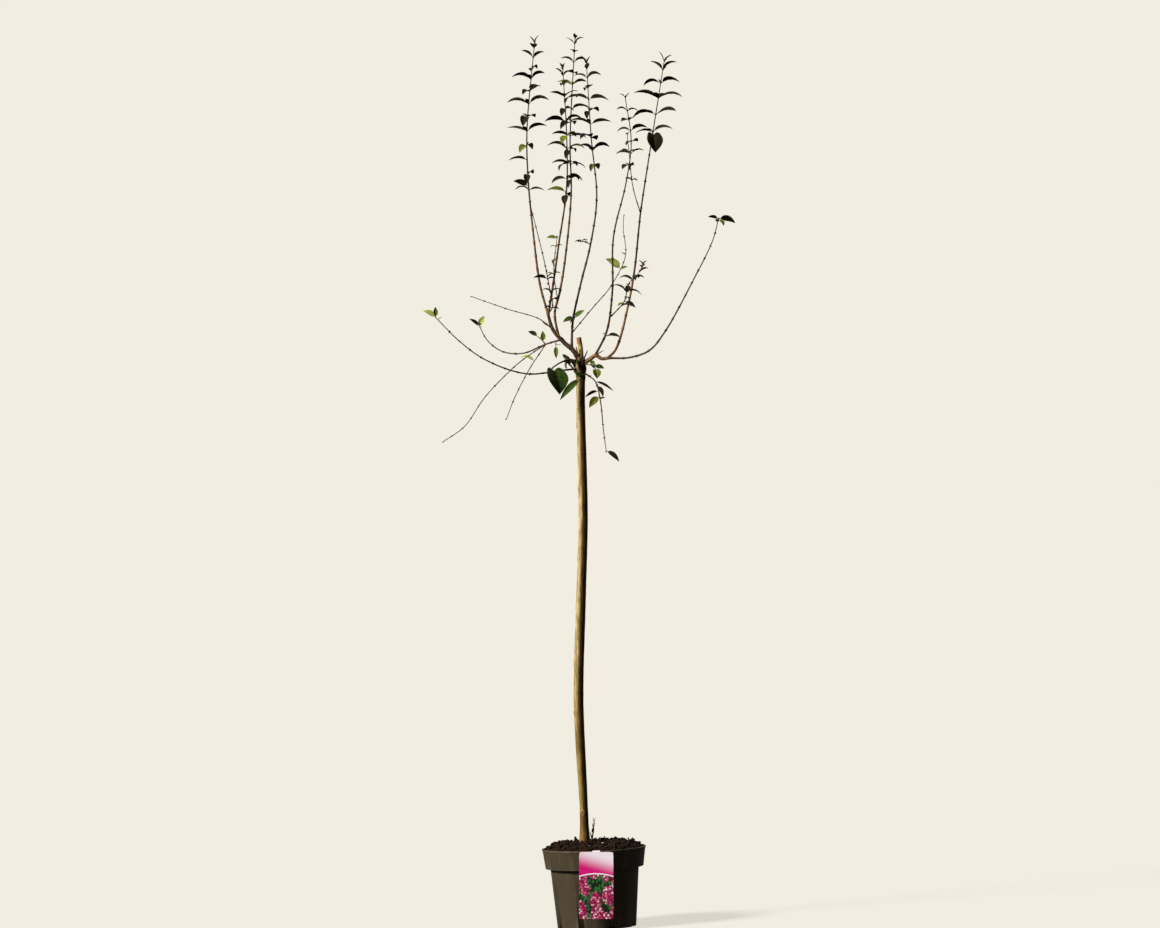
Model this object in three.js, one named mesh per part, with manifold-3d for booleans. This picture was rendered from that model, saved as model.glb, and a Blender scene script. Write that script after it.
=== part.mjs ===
// A standard superba littleleaf lilac: a sparse autumn crown on a clear stem, in a round nursery pot.
// Millimetres, +Z up, the viewer on the -Y side. The origin is the centre of the pot's flat underside.
import * as THREE from "three";
import { mergeVertices } from "three/addons/utils/BufferGeometryUtils.js";
import Module from "manifold-3d";

const wasm = await Module();
wasm.setup();

// Driving dimensions
const CLEARANCE = 0.3;
const STEM_FOOT = [-15, 0, 158];
const STEM_HEIGHT = 882;
const STEM_SUNK = 26;
const LEAN_DEG = 2.3;
const POT = {
  height: 145,
  rimRadius: 95,
  collarRadius: 89.5,
  collarHeight: 36,
  shoulderRadius: 80.8,
  footRadius: 71.9,
  wall: 1.6,
  floor: 2.5,
  lip: 3,
  sides: 40,
  slots: 8,
  slotWidth: 11,
  slotHeight: 5,
};
const POT_STEP = POT.height - POT.collarHeight;
const SLOT_DEPTH = 5;
const SOIL = { edge: 141, dome: 13, flatness: 9, lump: 1.8, rings: 8 };
const LABEL = {
  width: 62,
  height: 121,
  thickness: 0.8,
  centre: 4,
  tilt: 2.3,
  corner: 3,
  drop: 1.5,
  tongueWidth: 14,
  tongueDrop: 28,
  tongueInset: 0.9,
  tongueSlope: 3.9,
};
const LEAF = {
  stations: [0, 0.16, 0.37, 0.7, 1],
  outline: [0, 0, 0.5, 0.37, 0],
  stalkRadius: 0.6,
  thickness: 0.6,
  width: 0.54,
};
const LEAF_SUNK = 2;
const LEAFY_SIDES = 3;
const TWIG_SIDES = 5;
const TWIG_RING = 26;
const LEAST_RINGS = 4;
const BOUGH_SIDES = 7;
const STEM_SIDES = 10;
const STEM_RING = 20;

const BARK = { color: 0x5a4a2e, roughness: 0.85, metalness: 0 };
const TWIG_BARK = { color: 0x3f2f20, roughness: 0.8, metalness: 0 };
const FOLIAGE = { color: 0x46601f, roughness: 0.6, metalness: 0 };
const POT_PLASTIC = { color: 0x2e2a27, roughness: 0.55, metalness: 0 };
const PEAT = { color: 0x2b1d14, roughness: 0.95, metalness: 0 };
const CARD = { color: 0xc23a72, roughness: 0.35, metalness: 0 };

// The stem's centre line as [x, height] above its foot, and its diameters as [height, diameter].
const STEM_LINE = [
  [-1, 0],
  [-3, 64],
  [-12.3, 256],
  [-8, 439],
  [-4, 591],
  [-8.6, 800],
  [-8, STEM_HEIGHT],
];
const STEM_THICKNESS = [
  [0, 18],
  [24, 16.2],
  [64, 15],
  [152, 17.2],
  [256, 18.2],
  [366, 18.2],
  [591, 17],
  [838, 16],
  [864, 20.5],
  [STEM_HEIGHT, 15],
];
// Heights of the old pruning scars, each a low swelling.
const SCAR_HEIGHTS = [51, 233, 325, 427, 517, 642, 758];
const SCAR_SWELLING = 0.6;
const UNION = new THREE.Vector3(STEM_LINE.at(-1)[0], 0, STEM_HEIGHT);
const CUT_STUB = { way: [[0, 0, -14], [-1, 0, 12], [-4, 0, 37]], thick: [12, 9] };

// Every shoot of the crown: way points from the union at the stem's top, and diameters at root and tip.
// A leaf is [share along the shoot, azimuth, length, rise at its root, rise at its tip, roll, width share].
// Azimuth 0 points right, 90 away from the viewer, 180 left and 270 at the viewer.
const LIMBS = [
  {
    name: "left_bough",
    way: [[0, 0, -10], [-14, 0, 13], [-31, 2, 28], [-52, 5, 53], [-60, 8, 79]],
    thick: [10, 5.4],
    sides: BOUGH_SIDES,
  },
  {
    name: "right_bough",
    way: [[0, 0, -14], [16, -4, -3], [27, -6, 4], [38, -8, -2], [49, -10, -1]],
    thick: [8.6, 5.6],
    sides: BOUGH_SIDES,
  },
  {
    name: "upright_1",
    way: [
      [-60, 8, 79], [-75, 14, 134], [-88, 20, 234], [-97, 27, 330],
      [-99, 32, 420], [-85, 36, 580],
    ],
    thick: [4.4, 1.4],
    top: { from: 0.46, longest: 36, turns: [0, 64], seed: 11 },
    leaves: [[0.475, 176, 30, 35, 0, 45, 0.5]],
  },
  {
    name: "upright_2",
    way: [
      [-60, 8, 79], [-50, -10, 139], [-41, -32, 203], [-26, -64, 307],
      [-26, -84, 400], [-33, -95, 521],
    ],
    thick: [4.2, 1.4],
    top: { from: 0.5, longest: 33, turns: [64, 0], seed: 29 },
    leaves: [[0.51, 184, 36, 25, -15, -35, 0.42]],
  },
  {
    name: "upright_3",
    way: [
      [-41, 3, 38], [-48, 2, 81], [-39, 4, 119], [-29, 8, 181],
      [-18, 13, 300], [-20, 17, 395], [-11, 20, 587],
    ],
    thick: [4.6, 1.4],
    top: { from: 0.53, longest: 32, turns: [64, 0], seed: 3 },
  },
  {
    name: "upright_4",
    way: [
      [-17, 2, 20], [-15, 14, 66], [-1, 32, 134], [18, 58, 212],
      [29, 82, 298], [19, 102, 408], [10, 115, 549],
    ],
    thick: [4.4, 1.4],
    top: { from: 0.65, longest: 34, turns: [64, 0], seed: 41 },
  },
  {
    name: "upright_5",
    way: [
      [26, -6, 4], [47, -18, 48], [57, -34, 119], [59, -52, 218],
      [82, -66, 317], [91, -74, 390], [80, -80, 471],
    ],
    thick: [4.2, 1.4],
    top: { from: 0.74, step: 17, longest: 27, turns: [64, 0], seed: 57 },
  },
  {
    name: "upright_6",
    way: [
      [49, -10, -1], [64, -4, 16], [85, 4, 90], [98, 12, 161],
      [109, 22, 265], [122, 31, 351], [153, 45, 547],
    ],
    thick: [4.6, 1.4],
    top: { from: 0.762, step: 28, longest: 40, turns: [0, 152], seed: 9 },
    leaves: [[0.762, 286, 42, -52, -84, 0, 0.8]],
  },
  {
    name: "right_arch",
    way: [
      [49, -10, -1], [89, -22, 0], [125, -34, 13], [153, -46, 47],
      [204, -66, 140], [239, -82, 212], [249, -90, 251],
    ],
    thick: [4, 1.6],
    bend: 0.34,
    tuft: 0.95,
    leaves: [
      [1, 180, 20, 35, -15, 30],
      [1, 0, 33, 15, -45, -35],
      [0.99, 305, 22, 0, -70],
      [0.975, 90, 15, 50, 10],
    ],
  },
  {
    name: "left_arch",
    way: [
      [-37, 3, 33], [-65, 22, 25], [-107, 42, 9], [-145, 60, 13],
      [-172, 72, 33], [-188, 80, 61],
    ],
    thick: [3.4, 1.6],
    bend: 0.58,
    tuft: 0.93,
    leaves: [
      [1, 178, 24, 48, 25, 30],
      [1, 12, 22, 78, 48, 70],
      [0.975, 275, 12, 40, -30],
    ],
  },
  {
    name: "long_left_arch",
    way: [
      [0, 0, -20], [-31, -18, -23], [-101, -48, -30], [-174, -76, -5],
      [-220, -90, 28], [-264, -100, 72],
    ],
    thick: [3.4, 1.6],
    bend: 0.5,
    tuft: 0.95,
    leaves: [
      [1, 178, 26, 42, 12, -55],
      [1, 100, 20, 85, 70],
      [0.975, 350, 9, 50, 20],
    ],
  },
  {
    name: "left_wand",
    way: [[-49, 5, 49], [-75, 30, 71], [-138, 75, 92], [-203, 120, 116]],
    thick: [2, 1.4],
  },
  {
    name: "hanging_twig_inner",
    way: [[-65, 22, 25], [-78, 24, 5], [-92, 26, -16], [-121, 34, -71], [-137, 40, -112]],
    thick: [2, 1.4],
    leafy: true,
    leaves: [[0.24, 170, 28, 50, -20, -40, 0.34]],
  },
  {
    name: "hanging_twig_outer",
    way: [[-65, 22, 25], [-113, 0, -9], [-174, -24, -71], [-212, -38, -126], [-251, -50, -154]],
    thick: [2, 1.4],
  },
  {
    name: "arch_node_leaves",
    way: [[-65, 22, 25], [-71, 23, 32], [-81, 24, 41]],
    thick: [2, 1.4],
    leafy: true,
    leaves: [
      [0.3, 100, 20, 88, 72, 0, 0.5],
      [1, 182, 20, 40, 12, 60],
      [0.7, 10, 10, 30, -10, 40],
    ],
  },
  {
    name: "hanging_leaf",
    way: [[-46, 8, 31], [-46, 5, 24], [-46, 4, 20]],
    thick: [1.8, 1.4],
    leafy: true,
    leaves: [
      [1, 275, 25, -60, -88, 0, 0.42],
      [0.7, 0, 10, 20, -20],
    ],
  },
  {
    name: "inner_shoot_left",
    way: [[-60, 8, 79], [-52, -8, 95], [-59, -18, 135], [-68, -30, 180], [-93, -60, 280]],
    thick: [2.2, 1.2],
    leafy: true,
    rule: { from: 0.08, to: 0.4, step: 13, longest: 17, turns: [0, 70], seed: 5 },
    leaves: [[0.34, 178, 27, 20, -12, 30], [0.34, 356, 14, 30, -30, -20]],
  },
  {
    name: "inner_shoot_right",
    way: [
      [-16, 8, 46], [22, 40, 93], [55, 62, 133], [82, 78, 190],
      [78, 86, 240], [79, 90, 265],
    ],
    thick: [2, 1.2],
    leafy: true,
    leaves: [
      [0.61, 178, 34, 50, 18, -55],
      [0.61, 2, 14, 40, 0, 40],
      [0.2, 100, 9, 30, -10],
      [0.72, 200, 10, 40, 0],
    ],
  },
  {
    name: "side_shoot_right",
    way: [[55, -23, 75], [79, -40, 102], [86, -58, 132], [102, -76, 148], [113, -90, 167]],
    thick: [2.2, 1.4],
    leafy: true,
    rule: { from: 0.22, to: 1, step: 13, longest: 24, turns: [0, 70], seed: 8 },
    leaves: [[0.28, 190, 13, -10, -50, -30], [0.3, 350, 24, -10, -50, 30]],
  },
  {
    name: "slender_twig",
    way: [[109, 22, 265], [95, 2, 312], [88, -22, 370], [84, -45, 406]],
    thick: [1.8, 1.2],
    leafy: true,
    rule: { from: 0.42, to: 1, step: 24, longest: 14, turns: [0, 70], seed: 2 },
  },
  {
    name: "rear_twig",
    way: [[-43, 4, 108], [-50, 30, 160], [-44, 60, 223]],
    thick: [1.8, 1.2],
    leafy: true,
    rule: { from: 0.4, to: 1, step: 30, longest: 14, turns: [0, 70], seed: 6 },
    leaves: [[0.98, 176, 20, 25, -20, -50, 0.5]],
  },
  {
    name: "spur_on_upright_4",
    way: [[17, 57, 210], [6, 52, 214], [-4, 48, 215]],
    thick: [1.6, 1.2],
    leafy: true,
    rule: { from: 0.5, to: 1, step: 6, longest: 13, turns: [64, 0], seed: 4 },
  },
  {
    name: "low_leaves_on_upright_4",
    way: [[-15, 14, 66], [-13, 9, 70], [-11, 4, 74]],
    thick: [1.8, 1.4],
    leafy: true,
    leaves: [
      [1, 2, 23, 50, 25, 50],
      [0.9, 182, 23, -5, -35, -50],
      [0.7, 215, 13, -30, -60],
    ],
  },
  {
    name: "low_leaves_on_upright_5",
    way: [[43, -15, 38], [48, -20, 40]],
    thick: [1.8, 1.4],
    leafy: true,
    leaves: [
      [1, 352, 26, 12, -25, 30],
      [0.8, 200, 10, 50, 10],
    ],
  },
  {
    name: "heart_leaf_twig",
    way: [[0, 0, -12], [-18, -20, -4], [-36, -38, -9], [-53, -50, -20]],
    thick: [4.6, 2.4],
    leafy: true,
    leaves: [
      [1, 300, 56, -50, -76, 0, 0.84],
      [0.2, 262, 22, 0, -88, 0, 0.55],
      [0.4, 150, 13, 50, 10, 40],
      [0.42, 270, 14, -40, -80, 20],
      [0.5, 215, 15, 60, 30, 40],
    ],
  },
  {
    name: "leaves_under_union",
    way: [[0, 0, -34], [0, -12, -37], [0, -18, -38]],
    thick: [2.4, 1.8],
    leafy: true,
    leaves: [
      [1, 194, 57, -36, -56, -60, 0.26],
      [0.8, 300, 18, 50, -20],
      [0.9, 165, 19, 55, 20, 60],
    ],
  },
  {
    name: "leaves_right_of_union",
    way: [[0, 0, -12], [15, -12, -13], [24, -18, -16], [28, -21, -23]],
    thick: [2.4, 1.6],
    leafy: true,
    leaves: [
      [1, 285, 20, -40, -88, 0, 0.85],
      [0.8, 352, 19, 10, -35, 75, 0.5],
      [0.6, 60, 14, 50, 20, 30, 0.7],
      [0.64, 290, 14, 20, -85, 0, 0.85],
    ],
  },
  {
    name: "drooping_shoot",
    way: [[0, 0, -24], [26, -22, -44], [35, -34, -77], [41, -46, -134], [46, -56, -172]],
    thick: [3, 1.4],
    leafy: true,
    leaves: [
      [1, 350, 32, -20, -62, 60, 0.32],
      [0.22, 356, 38, -22, -34, 30, 0.3],
      [0.28, 320, 26, -30, -85, 30, 0.34],
      [0.34, 186, 28, -12, -40, 40, 0.36],
      [0.4, 205, 30, -30, -62, -55, 0.5],
      [0.43, 20, 11, 30, -10, 30],
    ],
  },
];
const BASAL_SHOOT = { way: [[14, -2, -14], [12, -4, 0], [14, -5, 14], [16, -6, 36]], thick: [4.2, 1.2] };

// How a leafy shoot sets its opposite pairs. Angles are in degrees, and each stray is a whole spread.
const PAIR_STEP = 22;
const PAIR_CROWDING = 1.25;
const PAIR_STRAY = 36;
const ROOT_RISE = 42;
const TOP_ROOT_RISE = 70;
const RISE_STRAY = 34;
const TIP_RISE = -32;
const TOP_TIP_RISE = 30;
const TIP_STRAY = 58;
const ROOT_HANG = 50;
const TIP_HANG = 62;
const FAR_HANG = 0.25;
const ROLL_STRAY = 50;
const SIDE_LENGTH = 1.15;
const FACING_LENGTH = 0.8;
const LENGTH_STRAY = 0.3;
const MISSING_SHARE = 0.09;
const UNBROKEN_TOP = 0.9;

// A repeatable stream of numbers between 0 and 1.
function dice(seed) {
  let state = seed * 7919;
  return () => {
    state = (state * 16807) % 2147483647;
    return state / 2147483647;
  };
}

function radians(degrees) {
  return THREE.MathUtils.degToRad(degrees);
}

// The closed solid inside a geometry, whatever seams and collapsed faces it has.
function solidFrom(geometry) {
  const bare = new THREE.BufferGeometry();
  bare.setAttribute("position", geometry.getAttribute("position"));
  bare.setIndex(geometry.index);
  const merged = mergeVertices(bare, 1e-4);
  const corners = merged.index.array;
  const triangles = [];
  for (let i = 0; i < corners.length; i += 3) {
    const [a, b, c] = corners.slice(i, i + 3);
    if (a !== b && b !== c && c !== a) {
      triangles.push(a, b, c);
    }
  }
  return new wasm.Manifold(
    new wasm.Mesh({
      numProp: 3,
      vertProperties: merged.getAttribute("position").array,
      triVerts: new Uint32Array(triangles),
    }),
  );
}

function geometryFrom(solid) {
  const mesh = solid.getMesh();
  const geometry = new THREE.BufferGeometry();
  geometry.setAttribute("position", new THREE.BufferAttribute(mesh.vertProperties, 3));
  geometry.setIndex(new THREE.BufferAttribute(mesh.triVerts, 1));
  geometry.computeVertexNormals();
  return geometry;
}

function largestBody(solid) {
  const bodies = solid.decompose();
  return bodies.reduce((best, body) => (body.volume() > best.volume() ? body : best));
}

function boxesMeet(a, b) {
  const boxA = a.boundingBox();
  const boxB = b.boundingBox();
  return [0, 1, 2].every((axis) => boxA.min[axis] < boxB.max[axis] && boxB.min[axis] < boxA.max[axis]);
}

function touches(a, b) {
  return boxesMeet(a, b) && a.intersect(b).volume() > 0;
}

// The value at a place on a line of [place, value] knots.
function along(knots, place) {
  const next = knots.findIndex(([at]) => at >= place);
  if (next <= 0) {
    return knots.at(next)[1];
  }
  const [low, lowValue] = knots[next - 1];
  const [high, highValue] = knots[next];
  return THREE.MathUtils.mapLinear(place, low, high, lowValue, highValue);
}

// A smooth curve through way points that are given from a place of their own.
function curveThrough(way, place) {
  const points = way.map((point) => new THREE.Vector3(...point).add(place));
  return new THREE.CatmullRomCurve3(points, false, "centripetal");
}

const LATHE_AXIS = new THREE.Vector3(0, 1, 0);

// A limb from one share of a curve to another: a lathe profile whose rings are set square to the curve.
function bentLathe({ curve, from = 0, to = 1, radiusAt, rings, sides, grow = 0 }) {
  const profile = [new THREE.Vector2(0, 0)];
  const spots = [];
  let heading = curve.getTangentAt(from);
  const turn = new THREE.Quaternion().setFromUnitVectors(LATHE_AXIS, heading);
  for (let ring = 0; ring <= rings; ring += 1) {
    const share = THREE.MathUtils.lerp(from, to, ring / rings);
    const tangent = curve.getTangentAt(share);
    turn.premultiply(new THREE.Quaternion().setFromUnitVectors(heading, tangent));
    heading = tangent;
    const stretch = ring === 0 ? -grow : ring === rings ? grow : 0;
    const centre = curve.getPointAt(share).addScaledVector(tangent, stretch);
    spots.push({ centre, turn: turn.clone() });
    profile.push(new THREE.Vector2(radiusAt(share) + grow, ring));
  }
  profile.push(new THREE.Vector2(0, rings));
  const geometry = new THREE.LatheGeometry(profile, sides);
  const position = geometry.getAttribute("position");
  const vertex = new THREE.Vector3();
  for (let i = 0; i < position.count; i += 1) {
    vertex.fromBufferAttribute(position, i);
    const { centre, turn: square } = spots[Math.round(vertex.y)];
    vertex.setY(0).applyQuaternion(square).add(centre);
    position.setXYZ(i, vertex.x, vertex.y, vertex.z);
  }
  return geometry;
}

// A leaf: a four-sided sphere drawn out along an arching midrib, its root sunk in the twig's middle.
function leafSolid(root, [, azimuth, length, rise, droop, roll = 0, width = LEAF.width], extra = 0) {
  const outward = new THREE.Vector3(Math.cos(radians(azimuth)), Math.sin(radians(azimuth)), 0);
  const level = new THREE.Vector3(0, 0, 1).cross(outward);
  const centres = [root.clone()];
  const sides = [];
  const normals = [];
  LEAF.stations.forEach((station, row) => {
    const pitch = radians(THREE.MathUtils.lerp(rise, droop, station));
    const forward = outward.clone().multiplyScalar(Math.cos(pitch)).setZ(Math.sin(pitch));
    sides.push(level.clone().applyAxisAngle(forward, radians(roll)));
    normals.push(forward.clone().cross(sides[row]));
    if (row > 0) {
      const step = (station - LEAF.stations[row - 1]) * (length + 2 * extra);
      centres.push(centres[row - 1].clone().addScaledVector(forward, step));
    }
  });
  const geometry = new THREE.SphereGeometry(1, 4, LEAF.stations.length - 1);
  const position = geometry.getAttribute("position");
  for (let i = 0; i < position.count; i += 1) {
    const row = Math.floor(i / 5);
    const quarter = radians(90 * (i % 5));
    const tapered = row === 0 || row === LEAF.stations.length - 1;
    const halfWidth = tapered ? 0 : Math.max(LEAF.stalkRadius, LEAF.outline[row] * width * length) + extra;
    const halfThick = tapered ? 0 : LEAF.thickness / 2 + extra;
    const vertex = centres[row].clone();
    vertex.addScaledVector(sides[row], -Math.cos(quarter) * halfWidth);
    vertex.addScaledVector(normals[row], Math.sin(quarter) * halfThick);
    position.setXYZ(i, vertex.x, vertex.y, vertex.z);
  }
  return solidFrom(geometry);
}

// Opposite pairs between two shares of a shoot: they crowd towards its tip, and the largest stand a third
// of the way up. Each is turned from the pair below. Leaves on the near side hang more.
function pairedLeaves(length, { from, to = 1, step = PAIR_STEP, longest, turns, seed }) {
  const chance = dice(seed);
  const around = (middle, spread) => middle + spread * (chance() - 0.5);
  const mix = THREE.MathUtils.lerp;
  const pairs = Math.round(((to - from) * length) / step);
  const leaves = [];
  for (let pair = 0; pair <= pairs; pair += 1) {
    const height = pair / pairs;
    const size = longest * (0.35 + 0.65 * Math.sin(Math.PI * (0.25 + 0.7 * height)));
    const share = THREE.MathUtils.lerp(to, from, (1 - height) ** PAIR_CROWDING);
    for (const side of [0, 180]) {
      const azimuth = around(turns[pair % 2] + side, PAIR_STRAY);
      const nearness = -Math.sin(radians(azimuth));
      const leafLength = size * around(mix(SIDE_LENGTH, FACING_LENGTH, nearness ** 2), LENGTH_STRAY);
      const hang = nearness ** 2 * (nearness > 0 ? 1 : FAR_HANG);
      const rootRise = around(mix(ROOT_RISE - ROOT_HANG * hang, TOP_ROOT_RISE, height ** 4), RISE_STRAY);
      const tipRise = around(mix(TIP_RISE - TIP_HANG * hang, TOP_TIP_RISE, height ** 4), TIP_STRAY);
      const roll = around(0, ROLL_STRAY);
      if (chance() > MISSING_SHARE || height > UNBROKEN_TOP) {
        leaves.push([share, azimuth, leafLength, rootRise, tipRise, roll]);
      }
    }
  }
  return leaves;
}

// The plant's wood: stem, limbs and leafy shoots, each cut clear of every piece before it.
const wood = [];

function addWood(name, shape, leaves = []) {
  const grown = solidFrom(bentLathe({ ...shape, grow: CLEARANCE }));
  let solid = solidFrom(bentLathe(shape));
  for (const other of wood) {
    if (boxesMeet(other.grown, grown)) {
      solid = solid.subtract(other.grown);
    }
  }
  wood.push({ name, shape, grown, leaves, solid: largestBody(solid) });
}

function taper([root, tip]) {
  return (share) => THREE.MathUtils.lerp(root, tip, share) / 2;
}

// The stem swells at its foot, at each scar and at the union, where the old leader was cut off.
function addStem() {
  const foot = new THREE.Vector3(0, 0, 0);
  const line = STEM_LINE.map(([x, height]) => [x, 0, height]);
  const curve = curveThrough([[0, 0, -STEM_SUNK], ...line], foot);
  const radiusAt = (share) => {
    const height = Math.max(0, curve.getPointAt(share).z);
    const scarred = SCAR_HEIGHTS.some((scar) => Math.abs(scar - height) < STEM_RING / 2);
    return along(STEM_THICKNESS, height) / 2 + (scarred ? SCAR_SWELLING : 0);
  };
  const rings = Math.round((STEM_HEIGHT + STEM_SUNK) / STEM_RING);
  addWood("stem", { curve, radiusAt, rings, sides: STEM_SIDES });
  const stub = curveThrough(CUT_STUB.way, UNION);
  const stubShape = { curve: stub, radiusAt: taper(CUT_STUB.thick), rings: 4, sides: BOUGH_SIDES };
  wood[0].solid = wood[0].solid.add(solidFrom(bentLathe(stubShape)));
  wood[0].grown = wood[0].grown.add(solidFrom(bentLathe({ ...stubShape, grow: CLEARANCE })));
}

// A shoot is one piece, or is parted at its bend and where its leaves begin.
function addShoot(spec, place = UNION) {
  const { name, way, thick, sides = TWIG_SIDES, bend, top, tuft, rule, leafy, leaves = [] } = spec;
  const curve = curveThrough(way, place);
  const length = curve.getLength();
  const radiusAt = taper(thick);
  const leafStart = top ? top.from : tuft;
  const piece = (from, to, pieceSides = sides) => {
    const rings = Math.max(LEAST_RINGS, Math.round(((to - from) * length) / TWIG_RING));
    return { curve, from, to, radiusAt, rings, sides: pieceSides };
  };
  const pairs = top || rule;
  const grownLeaves = pairs ? [...leaves, ...pairedLeaves(length, pairs)] : leaves;
  if (leafy) {
    addWood(name, piece(0, 1, LEAFY_SIDES), grownLeaves);
    return;
  }
  const bareEnd = leafStart || 1;
  if (bend) {
    addWood(name + "_lower", piece(0, bend));
    addWood(name + "_upper", piece(bend, bareEnd));
  } else {
    addWood(name, piece(0, bareEnd));
  }
  if (leafStart) {
    addWood(name + "_leaves", piece(leafStart, 1, LEAFY_SIDES), grownLeaves);
  }
}

// Leaves go on once all the wood stands: one that would touch another piece or its leaves is left off.
function addLeaves(piece) {
  const { curve } = piece.shape;
  const sunk = LEAF_SUNK / curve.getLength();
  for (const spec of piece.leaves) {
    const root = curve.getPointAt(Math.min(spec[0], 1 - sunk));
    const space = leafSolid(root, spec, CLEARANCE);
    const clear = wood.every((other) => other === piece || !touches(other.grown, space));
    if (clear) {
      piece.solid = piece.solid.add(leafSolid(root, spec));
      piece.grown = piece.grown.add(space);
    }
  }
  piece.solid = largestBody(piece.solid);
}

// The pot: a thin shell turned in one piece, with a collar that steps out and slots round its foot.
function potInnerRadius(height) {
  const { footRadius, shoulderRadius, wall } = POT;
  return THREE.MathUtils.mapLinear(height, 0, POT_STEP, footRadius, shoulderRadius) - wall;
}

function collarInnerRadius(height) {
  const { collarRadius, rimRadius, wall } = POT;
  return THREE.MathUtils.mapLinear(height, POT_STEP, POT.height, collarRadius, rimRadius - 1) - wall;
}

function latheFrom(points, sides) {
  const profile = points.map(([radius, height]) => new THREE.Vector2(radius, height));
  return new THREE.LatheGeometry(profile, sides).rotateX(Math.PI / 2);
}

function potSolid() {
  const { height, rimRadius, collarRadius, shoulderRadius, footRadius, wall, floor, lip, sides } = POT;
  let pot = solidFrom(
    latheFrom(
      [
        [0, 0],
        [footRadius, 0],
        [shoulderRadius, POT_STEP],
        [collarRadius, POT_STEP],
        [rimRadius - 1, height - lip],
        [rimRadius, height - lip],
        [rimRadius, height],
        [collarInnerRadius(height), height],
        [collarInnerRadius(POT_STEP), POT_STEP + wall],
        [potInnerRadius(POT_STEP), POT_STEP + wall],
        [potInnerRadius(0), floor],
        [0, floor],
      ],
      sides,
    ),
  );
  for (let slot = 0; slot < POT.slots; slot += 1) {
    const opening = new THREE.BoxGeometry(2 * SLOT_DEPTH, POT.slotWidth, 2 * POT.slotHeight);
    opening.translate(footRadius, 0, 0).rotateZ(radians((360 * (slot + 0.5)) / POT.slots));
    pot = pot.subtract(solidFrom(opening));
  }
  return pot;
}

// The label: a card that hangs in front of the pot from a tongue hooked over the rim.
function tongueSolid(extra) {
  const back = -(POT.rimRadius + CLEARANCE);
  const front = back - LABEL.thickness;
  const over = POT.height + CLEARANCE;
  const inside = LABEL.thickness + extra;
  const { tongueDrop, tongueInset, tongueWidth, tongueSlope } = LABEL;
  const hook = -(collarInnerRadius(POT.height) - tongueInset);
  const outline = new THREE.Shape();
  outline.moveTo(front, over - tongueDrop);
  outline.lineTo(front, over + LABEL.thickness);
  outline.lineTo(hook + inside, over + LABEL.thickness);
  outline.lineTo(hook + inside + tongueSlope, over - tongueDrop - extra);
  outline.lineTo(hook - extra + tongueSlope, over - tongueDrop - extra);
  outline.lineTo(hook - extra, over);
  outline.lineTo(back, over);
  outline.lineTo(back, over - tongueDrop);
  const width = tongueWidth + 2 * extra;
  const tongue = new THREE.ExtrudeGeometry(outline, { depth: width, bevelEnabled: false });
  tongue.translate(0, 0, -width / 2).rotateX(Math.PI / 2).rotateZ(Math.PI / 2);
  return solidFrom(tongue.translate(LABEL.centre, 0, 0));
}

function labelSolid() {
  const { width, height, thickness, corner, centre, tilt } = LABEL;
  const outline = new THREE.Shape();
  outline.moveTo(width / 2, -corner);
  outline.absarc(width / 2 - corner, -corner, corner, 0, Math.PI / 2);
  outline.absarc(corner - width / 2, -corner, corner, Math.PI / 2, Math.PI);
  outline.absarc(corner - width / 2, corner - height, corner, Math.PI, 1.5 * Math.PI);
  outline.absarc(width / 2 - corner, corner - height, corner, 1.5 * Math.PI, 2 * Math.PI);
  const flat = { depth: thickness, bevelEnabled: false, curveSegments: 4 };
  const card = new THREE.ExtrudeGeometry(outline, flat);
  card.rotateX(Math.PI / 2).rotateY(radians(tilt));
  card.translate(centre, -(POT.rimRadius + CLEARANCE), POT.height - LABEL.drop);
  return solidFrom(card).add(tongueSolid(0));
}

// The peat fills the pot to just under the rim and heaps up round the stem, with low crumbs all over.
function soilSolid(holes) {
  const { edge, dome, flatness, rings, lump } = SOIL;
  const edgeRadius = collarInnerRadius(edge) - CLEARANCE;
  const floor = POT.floor + CLEARANCE;
  const shelf = POT_STEP + POT.wall + CLEARANCE;
  const points = [
    [0, floor],
    [potInnerRadius(floor) - CLEARANCE, floor],
    [potInnerRadius(POT_STEP) - CLEARANCE, shelf],
    [collarInnerRadius(POT_STEP) - CLEARANCE, shelf],
  ];
  for (let ring = 0; ring <= rings; ring += 1) {
    const share = 1 - ring / rings;
    points.push([edgeRadius * share, edge + dome * (1 - share ** flatness)]);
  }
  const geometry = latheFrom(points, POT.sides);
  const position = geometry.getAttribute("position");
  for (let i = 0; i < position.count; i += 1) {
    const [x, y, z] = [position.getX(i), position.getY(i), position.getZ(i)];
    if (z > edge) {
      position.setZ(i, z + lump * Math.sin(x / 7 + y / 11) * Math.cos(y / 6 - x / 17));
    }
  }
  return holes.reduce((soil, hole) => soil.subtract(hole), solidFrom(geometry));
}

function addMesh(group, name, solid, look) {
  const mesh = new THREE.Mesh(geometryFrom(solid), new THREE.MeshStandardMaterial(look));
  mesh.name = name;
  group.add(mesh);
}

const lilac = new THREE.Group();
const plant = new THREE.Group();
plant.position.set(...STEM_FOOT);
plant.rotation.y = radians(LEAN_DEG);
plant.updateMatrix();
lilac.add(plant);

addStem();
LIMBS.forEach((limb) => addShoot(limb));
addShoot({ name: "basal_shoot", ...BASAL_SHOOT }, new THREE.Vector3(0, 0, 0));
wood.forEach((piece) => addLeaves(piece));
for (const { name, solid, leaves } of wood) {
  addMesh(plant, name, solid, name === "stem" ? BARK : leaves.length ? FOLIAGE : TWIG_BARK);
}

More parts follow.
